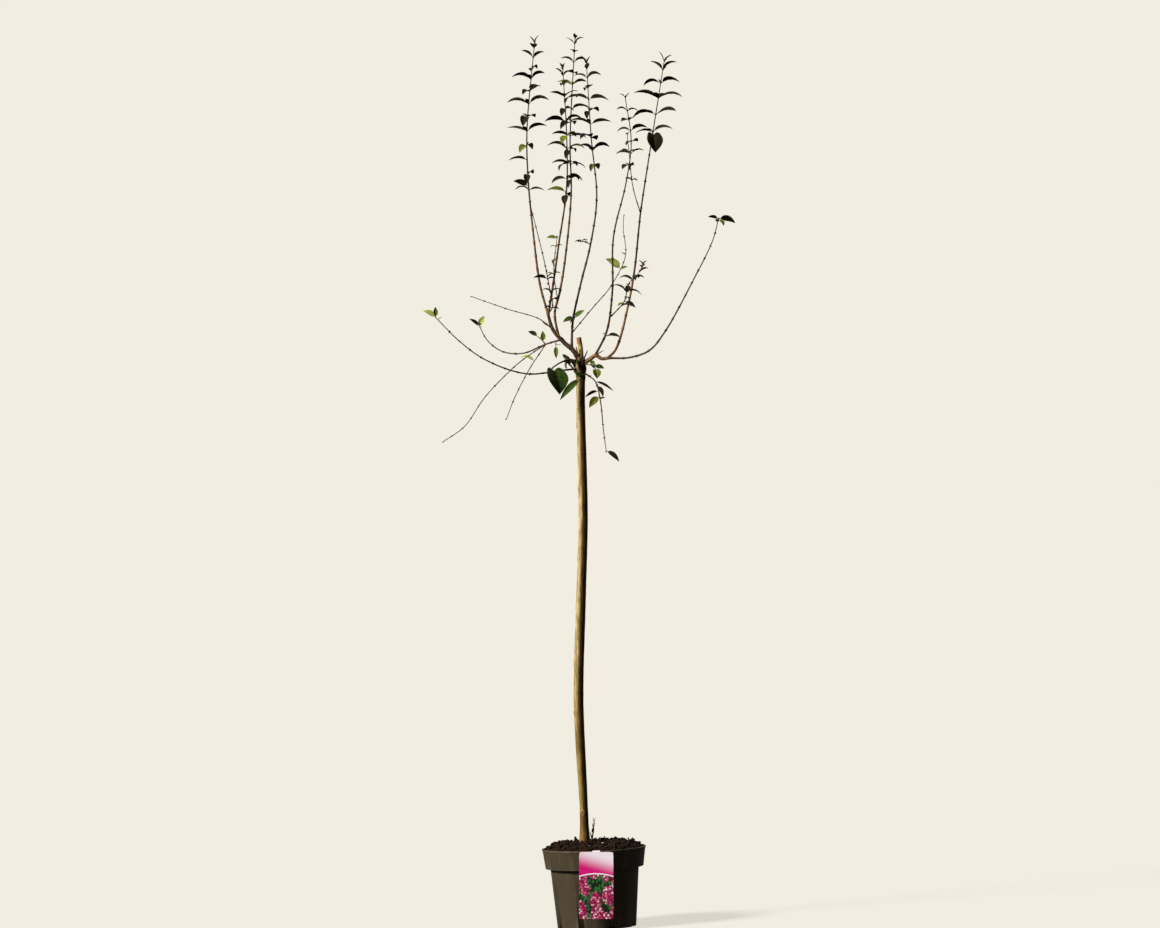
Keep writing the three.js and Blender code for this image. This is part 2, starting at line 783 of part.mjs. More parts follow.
const rooted = wood.filter(({ name }) => name === "stem" || name === "basal_shoot");
const stemHoles = rooted.map(({ shape }) => {
  return solidFrom(bentLathe({ ...shape, grow: CLEARANCE }).applyMatrix4(plant.matrix));
});
addMesh(lilac, "pot", potSolid(), POT_PLASTIC);
addMesh(lilac, "soil", soilSolid([...stemHoles, tongueSolid(CLEARANCE)]), PEAT);
addMesh(lilac, "plant_label", labelSolid(), CARD);

export default lilac;
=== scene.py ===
# A standard littleleaf lilac in its nursery pot: a sparse autumn crown on a clear stem. Metres, +Z up.
import math
import random

import bmesh
import bpy
from mathutils import Matrix, Quaternion, Vector, noise


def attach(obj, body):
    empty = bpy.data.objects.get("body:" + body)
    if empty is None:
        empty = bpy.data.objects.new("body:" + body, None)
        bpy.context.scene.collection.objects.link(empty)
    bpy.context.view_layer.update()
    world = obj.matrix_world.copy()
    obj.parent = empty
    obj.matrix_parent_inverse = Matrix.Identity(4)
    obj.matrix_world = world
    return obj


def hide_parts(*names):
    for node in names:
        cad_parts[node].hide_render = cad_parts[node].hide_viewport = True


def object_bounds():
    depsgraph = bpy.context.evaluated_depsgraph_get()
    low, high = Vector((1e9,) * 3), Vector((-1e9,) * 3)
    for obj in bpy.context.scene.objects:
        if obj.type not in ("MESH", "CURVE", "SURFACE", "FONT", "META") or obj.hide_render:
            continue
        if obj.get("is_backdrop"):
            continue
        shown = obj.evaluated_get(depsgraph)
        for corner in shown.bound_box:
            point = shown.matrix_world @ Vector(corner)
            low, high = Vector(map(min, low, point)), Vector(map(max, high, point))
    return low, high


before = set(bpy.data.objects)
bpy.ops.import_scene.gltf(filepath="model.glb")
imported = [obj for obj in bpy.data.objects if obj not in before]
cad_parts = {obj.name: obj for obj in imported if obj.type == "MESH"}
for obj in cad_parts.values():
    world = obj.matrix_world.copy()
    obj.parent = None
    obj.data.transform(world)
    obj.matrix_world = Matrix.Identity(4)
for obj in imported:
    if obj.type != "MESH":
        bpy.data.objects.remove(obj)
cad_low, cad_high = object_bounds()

# The nursery pot
# A thin tapered container, moulded in one piece from dark recycled plastic. Its collar steps out below the
# rim, the wall turns inwards at the floor, and eight drain slots are moulded through its foot.
MM = 0.001
POT_HEIGHT = 145 * MM
POT_STEP = 109 * MM
RIM_RADIUS = 95 * MM
COLLAR_TOP_RADIUS = RIM_RADIUS - 1 * MM
COLLAR_RADIUS = 89.5 * MM
SHOULDER_RADIUS = 80.8 * MM
FOOT_RADIUS = 71.9 * MM
POT_WALL = 1.6 * MM
POT_FLOOR = 2.5 * MM
RIM_LIP = 3 * MM
POT_STEPS = 128
DRAIN_SLOTS = 8
SLOT_SIZE = (10 * MM, 11 * MM, 10 * MM)
EDGE_ROUND = 0.5 * MM
MERGE_REACH = 0.01 * MM
FOOT_DUST_TOP = 30 * MM
RIM_DUST = (139.5 * MM, 144.5 * MM)
GRAIN_ROUGHNESS = 0.55


class Shade:
    """An output socket among a material's nodes. Sums with it add Math nodes."""

    start = None

    def __init__(self, tree, socket=None):
        self.tree = tree
        self.socket = socket

    def feed(self, entry, value):
        """Links a shade to a socket, or sets the socket's own value. Text is a written colour."""
        if isinstance(value, Shade):
            self.tree.links.new(value.socket, entry)
        else:
            entry.default_value = tone(value) if isinstance(value, str) else value

    def node(self, kind, settings, sockets, output=0):
        """A new node, with its settings first and then the values or links of its sockets."""
        made = self.tree.nodes.new(kind)
        for name, value in settings.items():
            setattr(made, name, value)
        for name, value in sockets.items():
            self.feed(made.inputs[name], value)
        return Shade(self.tree, made.outputs[output])

    def maths(self, operation, first, second):
        return self.node("ShaderNodeMath", {"operation": operation}, {0: first, 1: second})

    def __add__(self, other):
        return self.maths("ADD", self, other)

    def __sub__(self, other):
        return self.maths("SUBTRACT", self, other)

    def __mul__(self, other):
        return self.maths("MULTIPLY", self, other)

    def __rsub__(self, other):
        return self.maths("SUBTRACT", other, self)

    __radd__ = __add__
    __rmul__ = __mul__

    def rising(self, low, high):
        """0 below low, 1 above high and smooth between."""
        limits = {"Value": self, "From Min": low, "From Max": high}
        return self.node("ShaderNodeMapRange", {"interpolation_type": "SMOOTHSTEP"}, limits)

    def blend(self, first, second):
        """From one colour to another by this mask."""
        return self.node("ShaderNodeMix", {"data_type": "RGBA"}, {0: self, 6: first, 7: second}, 2)

    def grain(self, scale, detail=3, stretch=(1, 1, 1)):
        """Cloudy noise on the object's own coordinates."""
        shape = {"Scale": scale, "Detail": detail, "Roughness": GRAIN_ROUGHNESS}
        return self.node("ShaderNodeTexNoise", {}, {"Vector": self.stretched(stretch), **shape})

    def cells(self, scale, stretch=(1, 1, 1), output=0):
        """Voronoi cells on the object's own coordinates."""
        sockets = {"Vector": self.stretched(stretch), "Scale": scale}
        return self.node("ShaderNodeTexVoronoi", {}, sockets, output)

    def place(self):
        return self.start or self.node("ShaderNodeTexCoord", {}, {}, "Object")

    def stretched(self, stretch):
        return self.node("ShaderNodeMapping", {}, {"Vector": self.place(), "Scale": stretch})

    def part(self, name):
        """This vector's X, Y or Z."""
        return self.node("ShaderNodeSeparateXYZ", {}, {"Vector": self}, name)

    def axis(self, name):
        return self.place().part(name)

    def mark(self, name):
        """A number that the mesh keeps at its points."""
        return self.node("ShaderNodeAttribute", {"attribute_name": name}, {}, "Fac")

    def bump(self, height, depth, strength=1.0):
        return self.node("ShaderNodeBump", {}, {"Height": height, "Distance": depth, "Strength": strength})


def tone(code):
    """A colour of a shader from its written form, such as 8f7a3a."""
    parts = [int(code[i : i + 2], 16) / 255 for i in (0, 2, 4)]
    return (*[p / 12.92 if p < 0.04045 else ((p + 0.055) / 1.055) ** 2.4 for p in parts], 1)


def new_material(name):
    """A material with its Principled shader, and a shade to start its nodes from."""
    material = bpy.data.materials.new(name)
    material.use_nodes = True
    return material, Shade(material.node_tree)


def finish_material(material, **sockets):
    """Feeds the Principled shader. Underscores in a socket's name stand for spaces."""
    shader = material.node_tree.nodes["Principled BSDF"]
    for name, value in sockets.items():
        Shade(material.node_tree).feed(shader.inputs[name.replace("_", " ")], value)


def mesh_of(name, shape):
    """A mesh made from a bmesh, which is freed."""
    mesh = bpy.data.meshes.new(name)
    shape.to_mesh(mesh)
    shape.free()
    return mesh


def add_object(name, data):
    """An object in the scene, made from a mesh, a lamp or a camera."""
    made = bpy.data.objects.new(name, data)
    bpy.context.scene.collection.objects.link(made)
    return made


def add_piece(name, shape, materials, replaced=(), crease=35):
    """Makes a bmesh an object that rides with the plant and stands for its CAD nodes."""
    mesh = mesh_of(name, shape)
    for material in materials:
        mesh.materials.append(material)
    mesh.shade_smooth()
    mesh.set_sharp_from_angle(angle=math.radians(crease))
    piece = add_object(name, mesh)
    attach(piece, "root")
    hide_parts(*replaced)
    return piece


def collar_inside(height):
    """The collar's inner radius at a height."""
    share = (height - POT_STEP) / (POT_HEIGHT - POT_STEP)
    return COLLAR_RADIUS + (COLLAR_TOP_RADIUS - COLLAR_RADIUS) * share - POT_WALL


def wall_inside(height):
    """The lower wall's inner radius at a height."""
    return FOOT_RADIUS + (SHOULDER_RADIUS - FOOT_RADIUS) * height / POT_STEP - POT_WALL


def round_off(shape, geom, offset, segments, affect="EDGES"):
    """Rounds the given edges or points."""
    bmesh.ops.bevel(
        shape, geom=geom, offset=offset, segments=segments, profile=0.5, affect=affect, material=-1
    )


def face_outwards(shape):
    bmesh.ops.recalc_face_normals(shape, faces=shape.faces)


def turned(profile, steps, rounding=0.0):
    """A closed solid of revolution. Its corners off the axis are rounded first."""
    solid = bmesh.new()
    corners = [solid.verts.new((radius, 0, height)) for radius, height in profile]
    for low, high in zip(corners, corners[1:]):
        solid.edges.new((low, high))
    if rounding:
        round_off(solid, corners[1:-1], rounding, 3, "VERTICES")
    outline = [*solid.verts, *solid.edges]
    bmesh.ops.spin(
        solid, geom=outline, axis=(0, 0, 1), cent=(0, 0, 0), angle=math.tau, steps=steps, use_merge=True
    )
    bmesh.ops.remove_doubles(solid, verts=solid.verts, dist=MERGE_REACH)
    face_outwards(solid)
    return solid


pot_plastic, paint = new_material("pot_plastic")
scuffs = paint.grain(90, 5, (1, 1, 0.12)).rising(0.5, 0.75)
mottle = paint.grain(25, 4)
dust = paint.grain(14, 6).rising(0.42, 0.7) * (1 - paint.axis("Z").rising(0.0, FOOT_DUST_TOP))
rim_dust = paint.grain(60, 5).rising(0.4, 0.65) * paint.axis("Z").rising(*RIM_DUST)
plastic = (scuffs * 0.35).blend(mottle.blend("3e3526", "473d2c"), "746853")
plastic = ((dust + rim_dust) * 0.5).blend(plastic, "6b5540")
pitting = paint.grain(1400, 2) * 0.5 + paint.grain(260, 3) * 0.4 - scuffs * 0.25
finish_material(
    pot_plastic,
    Base_Color=plastic,
    Roughness=0.42 + 0.2 * mottle + 0.12 * scuffs,
    Normal=paint.bump(pitting, 0.12 * MM, 0.6),
    Specular_IOR_Level=0.22,
)

pot_shape = turned(
    [
        (0, 0),
        (FOOT_RADIUS, 0),
        (SHOULDER_RADIUS, POT_STEP),
        (COLLAR_RADIUS, POT_STEP),
        (COLLAR_TOP_RADIUS, POT_HEIGHT - RIM_LIP),
        (RIM_RADIUS, POT_HEIGHT - RIM_LIP),
        (RIM_RADIUS, POT_HEIGHT),
        (collar_inside(POT_HEIGHT), POT_HEIGHT),
        (collar_inside(POT_STEP), POT_STEP + POT_WALL),
        (wall_inside(POT_STEP), POT_STEP + POT_WALL),
        (wall_inside(0), POT_FLOOR),
        (0, POT_FLOOR),
    ],
    POT_STEPS,
    EDGE_ROUND,
)
slot_cutter = bmesh.new()
for slot in range(DRAIN_SLOTS):
    around = Matrix.Rotation(math.tau * (slot + 0.5) / DRAIN_SLOTS, 4, "Z")
    opening = around @ Matrix.Translation((FOOT_RADIUS, 0, 0)) @ Matrix.Diagonal((*SLOT_SIZE, 1))
    bmesh.ops.create_cube(slot_cutter, size=1, matrix=opening)
cutter = add_object("slot_cutter", mesh_of("slot_cutter", slot_cutter))
pot_wall = add_piece("pot_wall", pot_shape, [pot_plastic], ["pot"])
cut = pot_wall.modifiers.new("drain_slots", "BOOLEAN")
cut.operation = "DIFFERENCE"
cut.object = cutter
bpy.context.view_layer.update()
slotted = bpy.data.meshes.new_from_object(pot_wall.evaluated_get(bpy.context.evaluated_depsgraph_get()))
pot_wall.modifiers.clear()
pot_wall.data = slotted
bpy.data.objects.remove(cutter)

# The potting soil
# Dark crumbly peat that fills the pot and heaps a little above the rim round the stem. It is one lumpy
# plug with loose crumbs, splinters, bark chips and a few pale grains of perlite lying in its surface.
SOIL_EDGE = 141 * MM
SOIL_DOME = 13 * MM
SOIL_FLATNESS = 9
SOIL_GAP = 0.3 * MM
SOIL_RINGS = 34
SOIL_SIDES = 120
# Clods, from coarse to fine: how many to a metre, the level of the noise that they follow, height in mm.
CLODS = [(55, 0, 2.6), (150, 4, 1.5), (420, 9, 0.7)]
CRUMBS = 1200
CRUMB_SIZE = 1
CRUMB_GROWTH = 3
CRUMB_RARITY = 2.4
CRUMB_SQUASH = ((0.7, 1.4), (0.7, 1.2), (0.6, 1))
CRUMB_LUMPS = (0.68, 1.32)
CRUMB_RISE = (-0.3, 0.6)
CRUMB_REACH = 0.985
CHIPS = 34
CHIP_LENGTHS = (3, 11)
CHIP_WIDTHS = (0.12, 0.4)
CHIP_HEIGHTS = (0.4, 1)
CHIP_ROUND = 0.16
CHIP_REACH = 0.93
SPLINTERS = 26
SPLINTER_LENGTHS = (4, 9)
SPLINTER_REACH = 0.95
STEEPEST_LEAN = 0.7
SPLINTER_FOOT = 0.28
SPLINTER_POINT = 0.05
SPLINTER_RAGGED = 0.07
SPLINTER_LIFT = 0.2
# A splinter and grains of perlite that were placed one by one, each as x, y and length or radius in mm.
TALL_SPLINTER = (-33, 6, 15)
PERLITE = [(16, -43, 2.4), (-44, 14, 1.1), (49, 31, 1.3), (-8, -66, 0.9)]
rng = random.Random(7)


def soil_surface(x, y):
    """The heap's height at a place: a flat-topped mound with clods."""
    share = min(1, math.hypot(x, y) / (collar_inside(SOIL_EDGE) - SOIL_GAP))
    clods = sum(noise.noise(Vector((x, y, level)) * scale) * height for scale, level, height in CLODS)
    return SOIL_EDGE + SOIL_DOME * (1 - share**SOIL_FLATNESS) + clods * MM


def join_shape(whole, part, move=None):
    """Adds one bmesh to another and frees it."""
    if move is not None:
        bmesh.ops.transform(part, matrix=move, verts=part.verts)
    carrier = mesh_of("carrier", part)
    whole.from_mesh(carrier)
    bpy.data.meshes.remove(carrier)


peat, paint = new_material("peat")
clumps = paint.grain(160, 5)
specks = paint.cells(700).rising(0.1, 0.3)
fibre = paint.grain(500, 3, (1, 0.2, 1)).rising(0.62, 0.72)
finish_material(
    peat,
    Base_Color=(fibre * 0.5).blend(clumps.rising(0.35, 0.7).blend("160c04", "2f1d0d"), "553a26"),
    Roughness=0.92 - 0.2 * clumps.rising(0.5, 0.8),
    Normal=paint.bump(clumps + specks * 0.3 + paint.grain(900, 3) * 0.4, 1.2 * MM),
    Specular_IOR_Level=0.1,
)

soil_top = [
    (collar_inside(SOIL_EDGE) * (1 - ring / SOIL_RINGS) - SOIL_GAP, POT_HEIGHT) for ring in range(SOIL_RINGS)
]
soil_plug = turned(
    [
        (0, POT_FLOOR + SOIL_GAP),
        (wall_inside(POT_FLOOR) - SOIL_GAP, POT_FLOOR + SOIL_GAP),
        (wall_inside(POT_STEP) - SOIL_GAP, POT_STEP + POT_WALL + SOIL_GAP),
        (collar_inside(POT_STEP) - SOIL_GAP, POT_STEP + POT_WALL + SOIL_GAP),
        *soil_top,
        (0, POT_HEIGHT),
    ],
    SOIL_SIDES,
)
for vert in soil_plug.verts:
    if vert.co.z > POT_HEIGHT - MM:
        vert.co.z = soil_surface(vert.co.x, vert.co.y)
add_piece("peat_heap", soil_plug, [peat], ["soil"], crease=80)


def scatter_spot(reach):
    """A random place on the heap within a share of its radius, as a point."""
    radius = collar_inside(SOIL_EDGE) * math.sqrt(rng.random()) * reach
    turn = rng.uniform(0, math.tau)
    x, y = radius * math.cos(turn), radius * math.sin(turn)
    return Vector((x, y, soil_surface(x, y)))


def random_turn():
    """Any turn about any axis."""
    axis = Vector((rng.gauss(0, 1), rng.gauss(0, 1), rng.gauss(0, 1))).normalized()
    return Matrix.Rotation(rng.uniform(0, math.tau), 4, axis)


crumbs = bmesh.new()
for _ in range(CRUMBS):
    size = MM * (CRUMB_SIZE + CRUMB_GROWTH * rng.random() ** CRUMB_RARITY)
    squash = Matrix.Diagonal((*[rng.uniform(*span) for span in CRUMB_SQUASH], 1))
    lump = bmesh.new()
    bmesh.ops.create_icosphere(lump, subdivisions=1, radius=size)
    for vert in lump.verts:
        vert.co *= rng.uniform(*CRUMB_LUMPS)
    spot = scatter_spot(CRUMB_REACH) + Vector((0, 0, size * rng.uniform(*CRUMB_RISE)))
    join_shape(crumbs, lump, Matrix.Translation(spot) @ random_turn() @ squash)


def add_splinter(spot, length, lean):
    """A pointed scrap of wood that stands in the peat."""
    splinter = bmesh.new()
    foot, point = length * SPLINTER_FOOT, length * SPLINTER_POINT
    bmesh.ops.create_cone(splinter, cap_ends=True, segments=5, radius1=foot, radius2=point, depth=length)
    for vert in splinter.verts:
        vert.co += Vector((rng.gauss(0, SPLINTER_RAGGED), rng.gauss(0, SPLINTER_RAGGED), 0)) * length
    axis = Vector((rng.gauss(0, 1), rng.gauss(0, 1), 0)).normalized()
    lifted = spot + Vector((0, 0, length * SPLINTER_LIFT))
    join_shape(crumbs, splinter, Matrix.Translation(lifted) @ Matrix.Rotation(lean, 4, axis))


for _ in range(SPLINTERS):
    spot = scatter_spot(SPLINTER_REACH)
    add_splinter(spot, MM * rng.uniform(*SPLINTER_LENGTHS), rng.uniform(0, STEEPEST_LEAN))
x, y, length = (value * MM for value in TALL_SPLINTER)
add_splinter(Vector((x, y, soil_surface(x, y))), length, 0.2)
add_piece("peat_crumbs", crumbs, [peat], crease=60)

bark_chip, paint = new_material("bark_chip")
finish_material(
    bark_chip,
    Base_Color=paint.grain(220, 3).rising(0.3, 0.7).blend("2c1b10", "6a4e36"),
    Roughness=0.85,
    Normal=paint.bump(paint.grain(600, 4, (1, 0.3, 1)), 0.5 * MM),
)
chips = bmesh.new()
for _ in range(CHIPS):
    length = MM * rng.uniform(*CHIP_LENGTHS)
    sizes = (length, length * rng.uniform(*CHIP_WIDTHS), MM * rng.uniform(*CHIP_HEIGHTS), 1)
    sliver = bmesh.new()
    bmesh.ops.create_cube(sliver, size=1)
    round_off(sliver, sliver.edges, CHIP_ROUND, 1)
    tilt = Matrix.Rotation(rng.uniform(-0.7, 0.7), 4, "X") @ Matrix.Rotation(rng.uniform(-0.5, 0.5), 4, "Y")
    lie = Matrix.Rotation(rng.uniform(0, math.tau), 4, "Z") @ tilt
    spot = scatter_spot(CHIP_REACH) + Vector((0, 0, MM))
    join_shape(chips, sliver, Matrix.Translation(spot) @ lie @ Matrix.Diagonal(sizes))
add_piece("bark_chips", chips, [bark_chip])

perlite, paint = new_material("perlite")
pits = paint.grain(1300, 3)
finish_material(
    perlite,
    Base_Color=pits.rising(0.35, 0.6).blend("9a8f7c", "d9d2c2"),
    Roughness=0.9,
    Normal=paint.bump(pits, 0.5 * MM),
)
grains = bmesh.new()
for x, y, size in PERLITE:
    grain = bmesh.new()
    bmesh.ops.create_icosphere(grain, subdivisions=2, radius=size * MM)
    for vert in grain.verts:
        vert.co *= rng.uniform(0.8, 1.1)
    spot = Vector((x * MM, y * MM, soil_surface(x * MM, y * MM) + size * 0.7 * MM))
    join_shape(grains, grain, Matrix.Translation(spot) @ Matrix.Diagonal((1.3, 1, 0.8, 1)))
add_piece("perlite_grains", grains, [perlite], crease=60)

# The clear stem
# One leader of a grafted young plant, with khaki bark that is painted dark olive-brown on the side away from
# the key light, as painted shade.
# Low down a green film ends in a dark line, with browner bark below it. The stem flares at the soil, and
# thickens to a knotted union where the crown begins.
PLANT_FOOT = Vector((-15, 0, 158)) * MM
PLANT_LEAN = 2.3
STEM_WAY = [(0, -26), (-1, 0), (-3, 64), (-12.3, 256), (-8, 439), (-4, 591), (-8.6, 800), (-8, 882)]
STEM_WAY_X = [(height, x) for x, height in STEM_WAY]
STEM_THICKNESS = [
    (-26, 18), (0, 18), (24, 16.2), (64, 15), (152, 17.2), (256, 18.2), (366, 18.2), (591, 17), (838, 16),
    (864, 20.5), (882, 15),
]
# Each pruning scar: its height in millimetres and the way that it faces in degrees.
SCARS = [
    (51, 250), (233, 205), (325, 185), (427, 170), (517, 185), (577, 60), (642, 190), (700, 80), (758, 195),
    (847, 240),
]
SCAR_SPREAD = 28
SCAR_RADIUS = 5
FLARE_TOP = 30
KNOTS_FOOT = 835
KNOTS_RISE = 20
# How far each form of the stem's relief stands out, in millimetres.
STEM_FURROWS = 0.14
STEM_LUMPS = 0.2
FLARE = 0.6
FLARE_RIDGES = 0.9
SCAR_RIM = 0.9
SCAR_PIT = 0.7
KNOTS = 1.3
STEM_SIDES = 44
STEM_RING = 2.6 * MM
END_ANGLE = 1.2
END_ROUND = 1.2 * MM
# The way in degrees that the painted light side faces: the bark is left khaki there and painted dark as
# painted shade opposite.
PAINTED_LIGHT_TURN = 190
FILM_FOOT = 209 * MM
FILM_LINE = 8 * MM
FILM_TOP = 330 * MM
FILM_FADE = 90 * MM
# Heights in metres between which brown bark turns khaki, the pits fade out, and the union darkens.
KHAKI_HEIGHTS = (0.22, 0.62)
PITTED_HEIGHTS = (0.2, 0.5)
UNION_HEIGHTS = (0.99, 1.02)
SPAN_STEPS = 16
HEADING_STEP = 0.5 * MM
plant_place = Matrix.Translation(PLANT_FOOT) @ Matrix.Rotation(math.radians(PLANT_LEAN), 4, "Y")
stem_inverse = plant_place.inverted()


def held(value):
    """The value, kept between 0 and 1."""
    return min(1, max(0, value))


def blend_value(low, high, share):
    return low + (high - low) * share


def along(knots, place):
    """The value at a place on a line of (place, value) knots."""
    for (low, low_value), (high, high_value) in zip(knots, knots[1:]):
        if place <= high:
            return blend_value(low_value, high_value, max(0, (place - low) / (high - low)))
    return knots[-1][1]


class Shoot:
    """A limb's centre line through its way points in millimetres, read by share of its length."""

    def __init__(self, way, thick=None, start=(0, 0, 0)):
        points = [plant_place @ ((Vector(point) + Vector(start)) * MM) for point in way]
        self.thick = thick
        self.points = [points[0]]
        ends = [2 * points[0] - points[1], *points, 2 * points[-1] - points[-2]]
        for span in zip(ends, ends[1:], ends[2:], ends[3:]):
            self.add_span(span)
        self.places = [0.0]
        for low, high in zip(self.points, self.points[1:]):
            self.places.append(self.places[-1] + (high - low).length)
        self.length = self.places[-1]

    def add_span(self, span):
        """The stretch of a centripetal curve between the middle two of four points."""
        a, b, c, d = span
        knots = [0.0]
        for low, high in zip(span, span[1:]):
            knots.append(knots[-1] + math.sqrt((high - low).length))
        for step in range(1, SPAN_STEPS + 1):
            t = blend_value(knots[1], knots[2], step / SPAN_STEPS)
            ab = a.lerp(b, (t - knots[0]) / (knots[1] - knots[0]))
            bc = b.lerp(c, (t - knots[1]) / (knots[2] - knots[1]))
            cd = c.lerp(d, (t - knots[2]) / (knots[3] - knots[2]))
            abc = ab.lerp(bc, (t - knots[0]) / (knots[2] - knots[0]))
            bcd = bc.lerp(cd, (t - knots[1]) / (knots[3] - knots[1]))
            self.points.append(abc.lerp(bcd, (t - knots[1]) / (knots[2] - knots[1])))

    def point(self, share):
        """The centre line's place at a share of the length."""
        target = held(share) * self.length
        for index in range(1, len(self.places)):
            if self.places[index] >= target:
                low, high = self.places[index - 1], self.places[index]
                return self.points[index - 1].lerp(self.points[index], (target - low) / (high - low))
        return self.points[-1].copy()

    def heading(self, share):
        """The way that the shoot grows at a share of its length."""
        step = HEADING_STEP / self.length
        return (self.point(share + step) - self.point(share - step)).normalized()

    def radius(self, share):
        return blend_value(*self.thick, held(share)) / 2 * MM


def picked(result, kind):
    """The points, edges or faces among what a bmesh call has made."""
    return [item for item in result["geom"] if isinstance(item, kind)]


def drawn_tube(rings, sides):
    """A closed tube drawn through (centre, heading, radius) rings, and the points of each ring."""
    tube = bmesh.new()
    bmesh.ops.create_circle(tube, cap_ends=True, radius=1, segments=sides)
    cap = tube.faces[:][0]
    centre, heading, size = Vector(), Vector((0, 0, 1)), 1.0
    ring_points = []
    for next_centre, next_heading, next_size in rings:
        if ring_points:
            cap = picked(bmesh.ops.extrude_face_region(tube, geom=[cap]), bmesh.types.BMFace)[0]
        turn = heading.rotation_difference(next_heading).to_matrix().to_4x4()
        grow = Matrix.Scale(next_size / size, 4)
        move = Matrix.Translation(next_centre) @ turn @ grow @ Matrix.Translation(-centre)
        bmesh.ops.transform(tube, matrix=move, verts=cap.verts[:])
        centre, heading, size = next_centre, next_heading, next_size
        ring_points.append(cap.verts[:])
    return tube, ring_points


def limb_shape(shoot, shares, radius_at, sides, relief):
    """A round limb along a shoot, with its bark's relief."""
    rings = [(shoot.point(share), shoot.heading(share), radius_at(share)) for share in shares]
    limb, ring_points = drawn_tube(rings, sides)
    for (centre, _, _), points in zip(rings, ring_points):
        for vert in points:
            outward = (vert.co - centre).normalized()
            vert.co += outward * relief(outward, vert.co)
    face_outwards(limb)
    return limb


def even_shares(shoot, spacing):
    """Shares of a shoot from root to tip, about a spacing in metres apart."""
    steps = max(2, round(shoot.length / spacing))
    return [step / steps for step in range(steps + 1)]


def stem_height(place):
    """A place's height up the leaning stem, in millimetres above the soil."""
    return (stem_inverse @ place).z / MM


def stem_radius(share):
    return along(STEM_THICKNESS, stem_height(stem.point(share))) / 2 * MM


def scar_reach(height, turn):
    """How far a place on the bark is from the nearest scar's middle, in scar radii."""
    return min(
        math.hypot(math.remainder(turn - scar_turn, 360) / SCAR_SPREAD, (height - scar_height) / SCAR_RADIUS)
        for scar_height, scar_turn in SCARS
    )


def hump(distance, reach):
    """1 at no distance, falling off in a bell curve past a reach."""
    return math.exp(-((distance / reach) ** 2))


def stem_relief(outward, place):
    """Root flare, pruning scars, the knotted union and shallow furrows, in metres."""
    height = stem_height(place)
    turn = math.degrees(math.atan2(outward.y, outward.x))
    raised = STEM_FURROWS * noise.noise(Vector((place.x * 420, place.y * 420, place.z * 70)))
    raised += STEM_LUMPS * noise.noise(place * 60)
    raised += max(0, 1 - height / FLARE_TOP) * (FLARE + FLARE_RIDGES * math.sin(math.radians(4 * turn)))
    reach = scar_reach(height, turn)
    raised += SCAR_RIM * hump(reach - 0.75, 0.5) - SCAR_PIT * hump(reach, 0.45)
    knotted = held((height - KNOTS_FOOT) / KNOTS_RISE)
    raised += knotted * KNOTS * noise.noise(place * 140 + Vector((3, 1, 7)))
    return raised * MM


stem_bark, paint = new_material("stem_bark")
height = paint.axis("Z")
furrows = paint.grain(330, 4, (1, 1, 0.1))
ridges = furrows.rising(0.3, 0.7)
film = paint.grain(22, 5, (1, 1, 0.35))
patches = paint.grain(60, 4, (1, 1, 0.5))
corky_spots = 1 - paint.cells(170, (1, 1, 2.6)).rising(0.08, 0.2)
pits = 1 - paint.cells(240, (1, 1, 0.6)).rising(0.1, 0.22)
khaki = ridges.blend("86703a", "d2b87e")
brown = ridges.blend("5e4418", "96722e")
pale_bark = (height + film * 0.5 - 0.25).rising(*KHAKI_HEIGHTS).blend(brown, khaki)
pale_bark = (patches.rising(0.55, 0.75) * 0.45).blend(pale_bark, "7a7034")
above_line = (height + film * 0.012).rising(FILM_FOOT, FILM_FOOT + FILM_LINE)
green_film = above_line * (1 - (height + film * 0.12).rising(FILM_TOP, FILM_TOP + FILM_FADE))
pale_bark = (green_film * patches.rising(0.2, 0.5) * 0.5).blend(pale_bark, "8a8236")
pale_bark = ((1 - above_line) * patches.rising(0.4, 0.6) * 0.6).blend(pale_bark, "5a3413")
# Painted light and shade: khaki bark on the side facing the key light, painted dark olive-brown on the far
# side.
painted_light_side = (paint.mark("painted_light_side") + film * 0.3 - 0.15).rising(0.56, 0.88)
bark = painted_light_side.blend(ridges.blend("301c04", "5c400c"), pale_bark)
bark = ((above_line - above_line * above_line) * 3.4).blend(bark, "2e1d0e")
bark = (corky_spots * 0.6).blend(bark, "c4a870")
bark = (pits * (1 - height.rising(*PITTED_HEIGHTS)) * 0.7).blend(bark, "3c2610")
union_patches = height.rising(*UNION_HEIGHTS) * (0.35 + 0.65 * patches.rising(0.3, 0.5))
bark = union_patches.blend(bark, "2e1d0e")
bark = (paint.mark("scar_ring") * 0.55).blend(bark, "b27c46")
bark = paint.mark("scar_heart").blend(bark, "2a1a0e")
finish_material(
    stem_bark,
    Base_Color=bark,
    Roughness=0.62 + 0.25 * patches,
    Normal=paint.bump(furrows + corky_spots * 0.6 + paint.grain(900, 3) * 0.3, 0.7 * MM),
    Specular_IOR_Level=0.25,
)
stem = Shoot([(x, 0, height) for x, height in STEM_WAY])
stem_shape = limb_shape(stem, even_shares(stem, STEM_RING), stem_radius, STEM_SIDES, stem_relief)
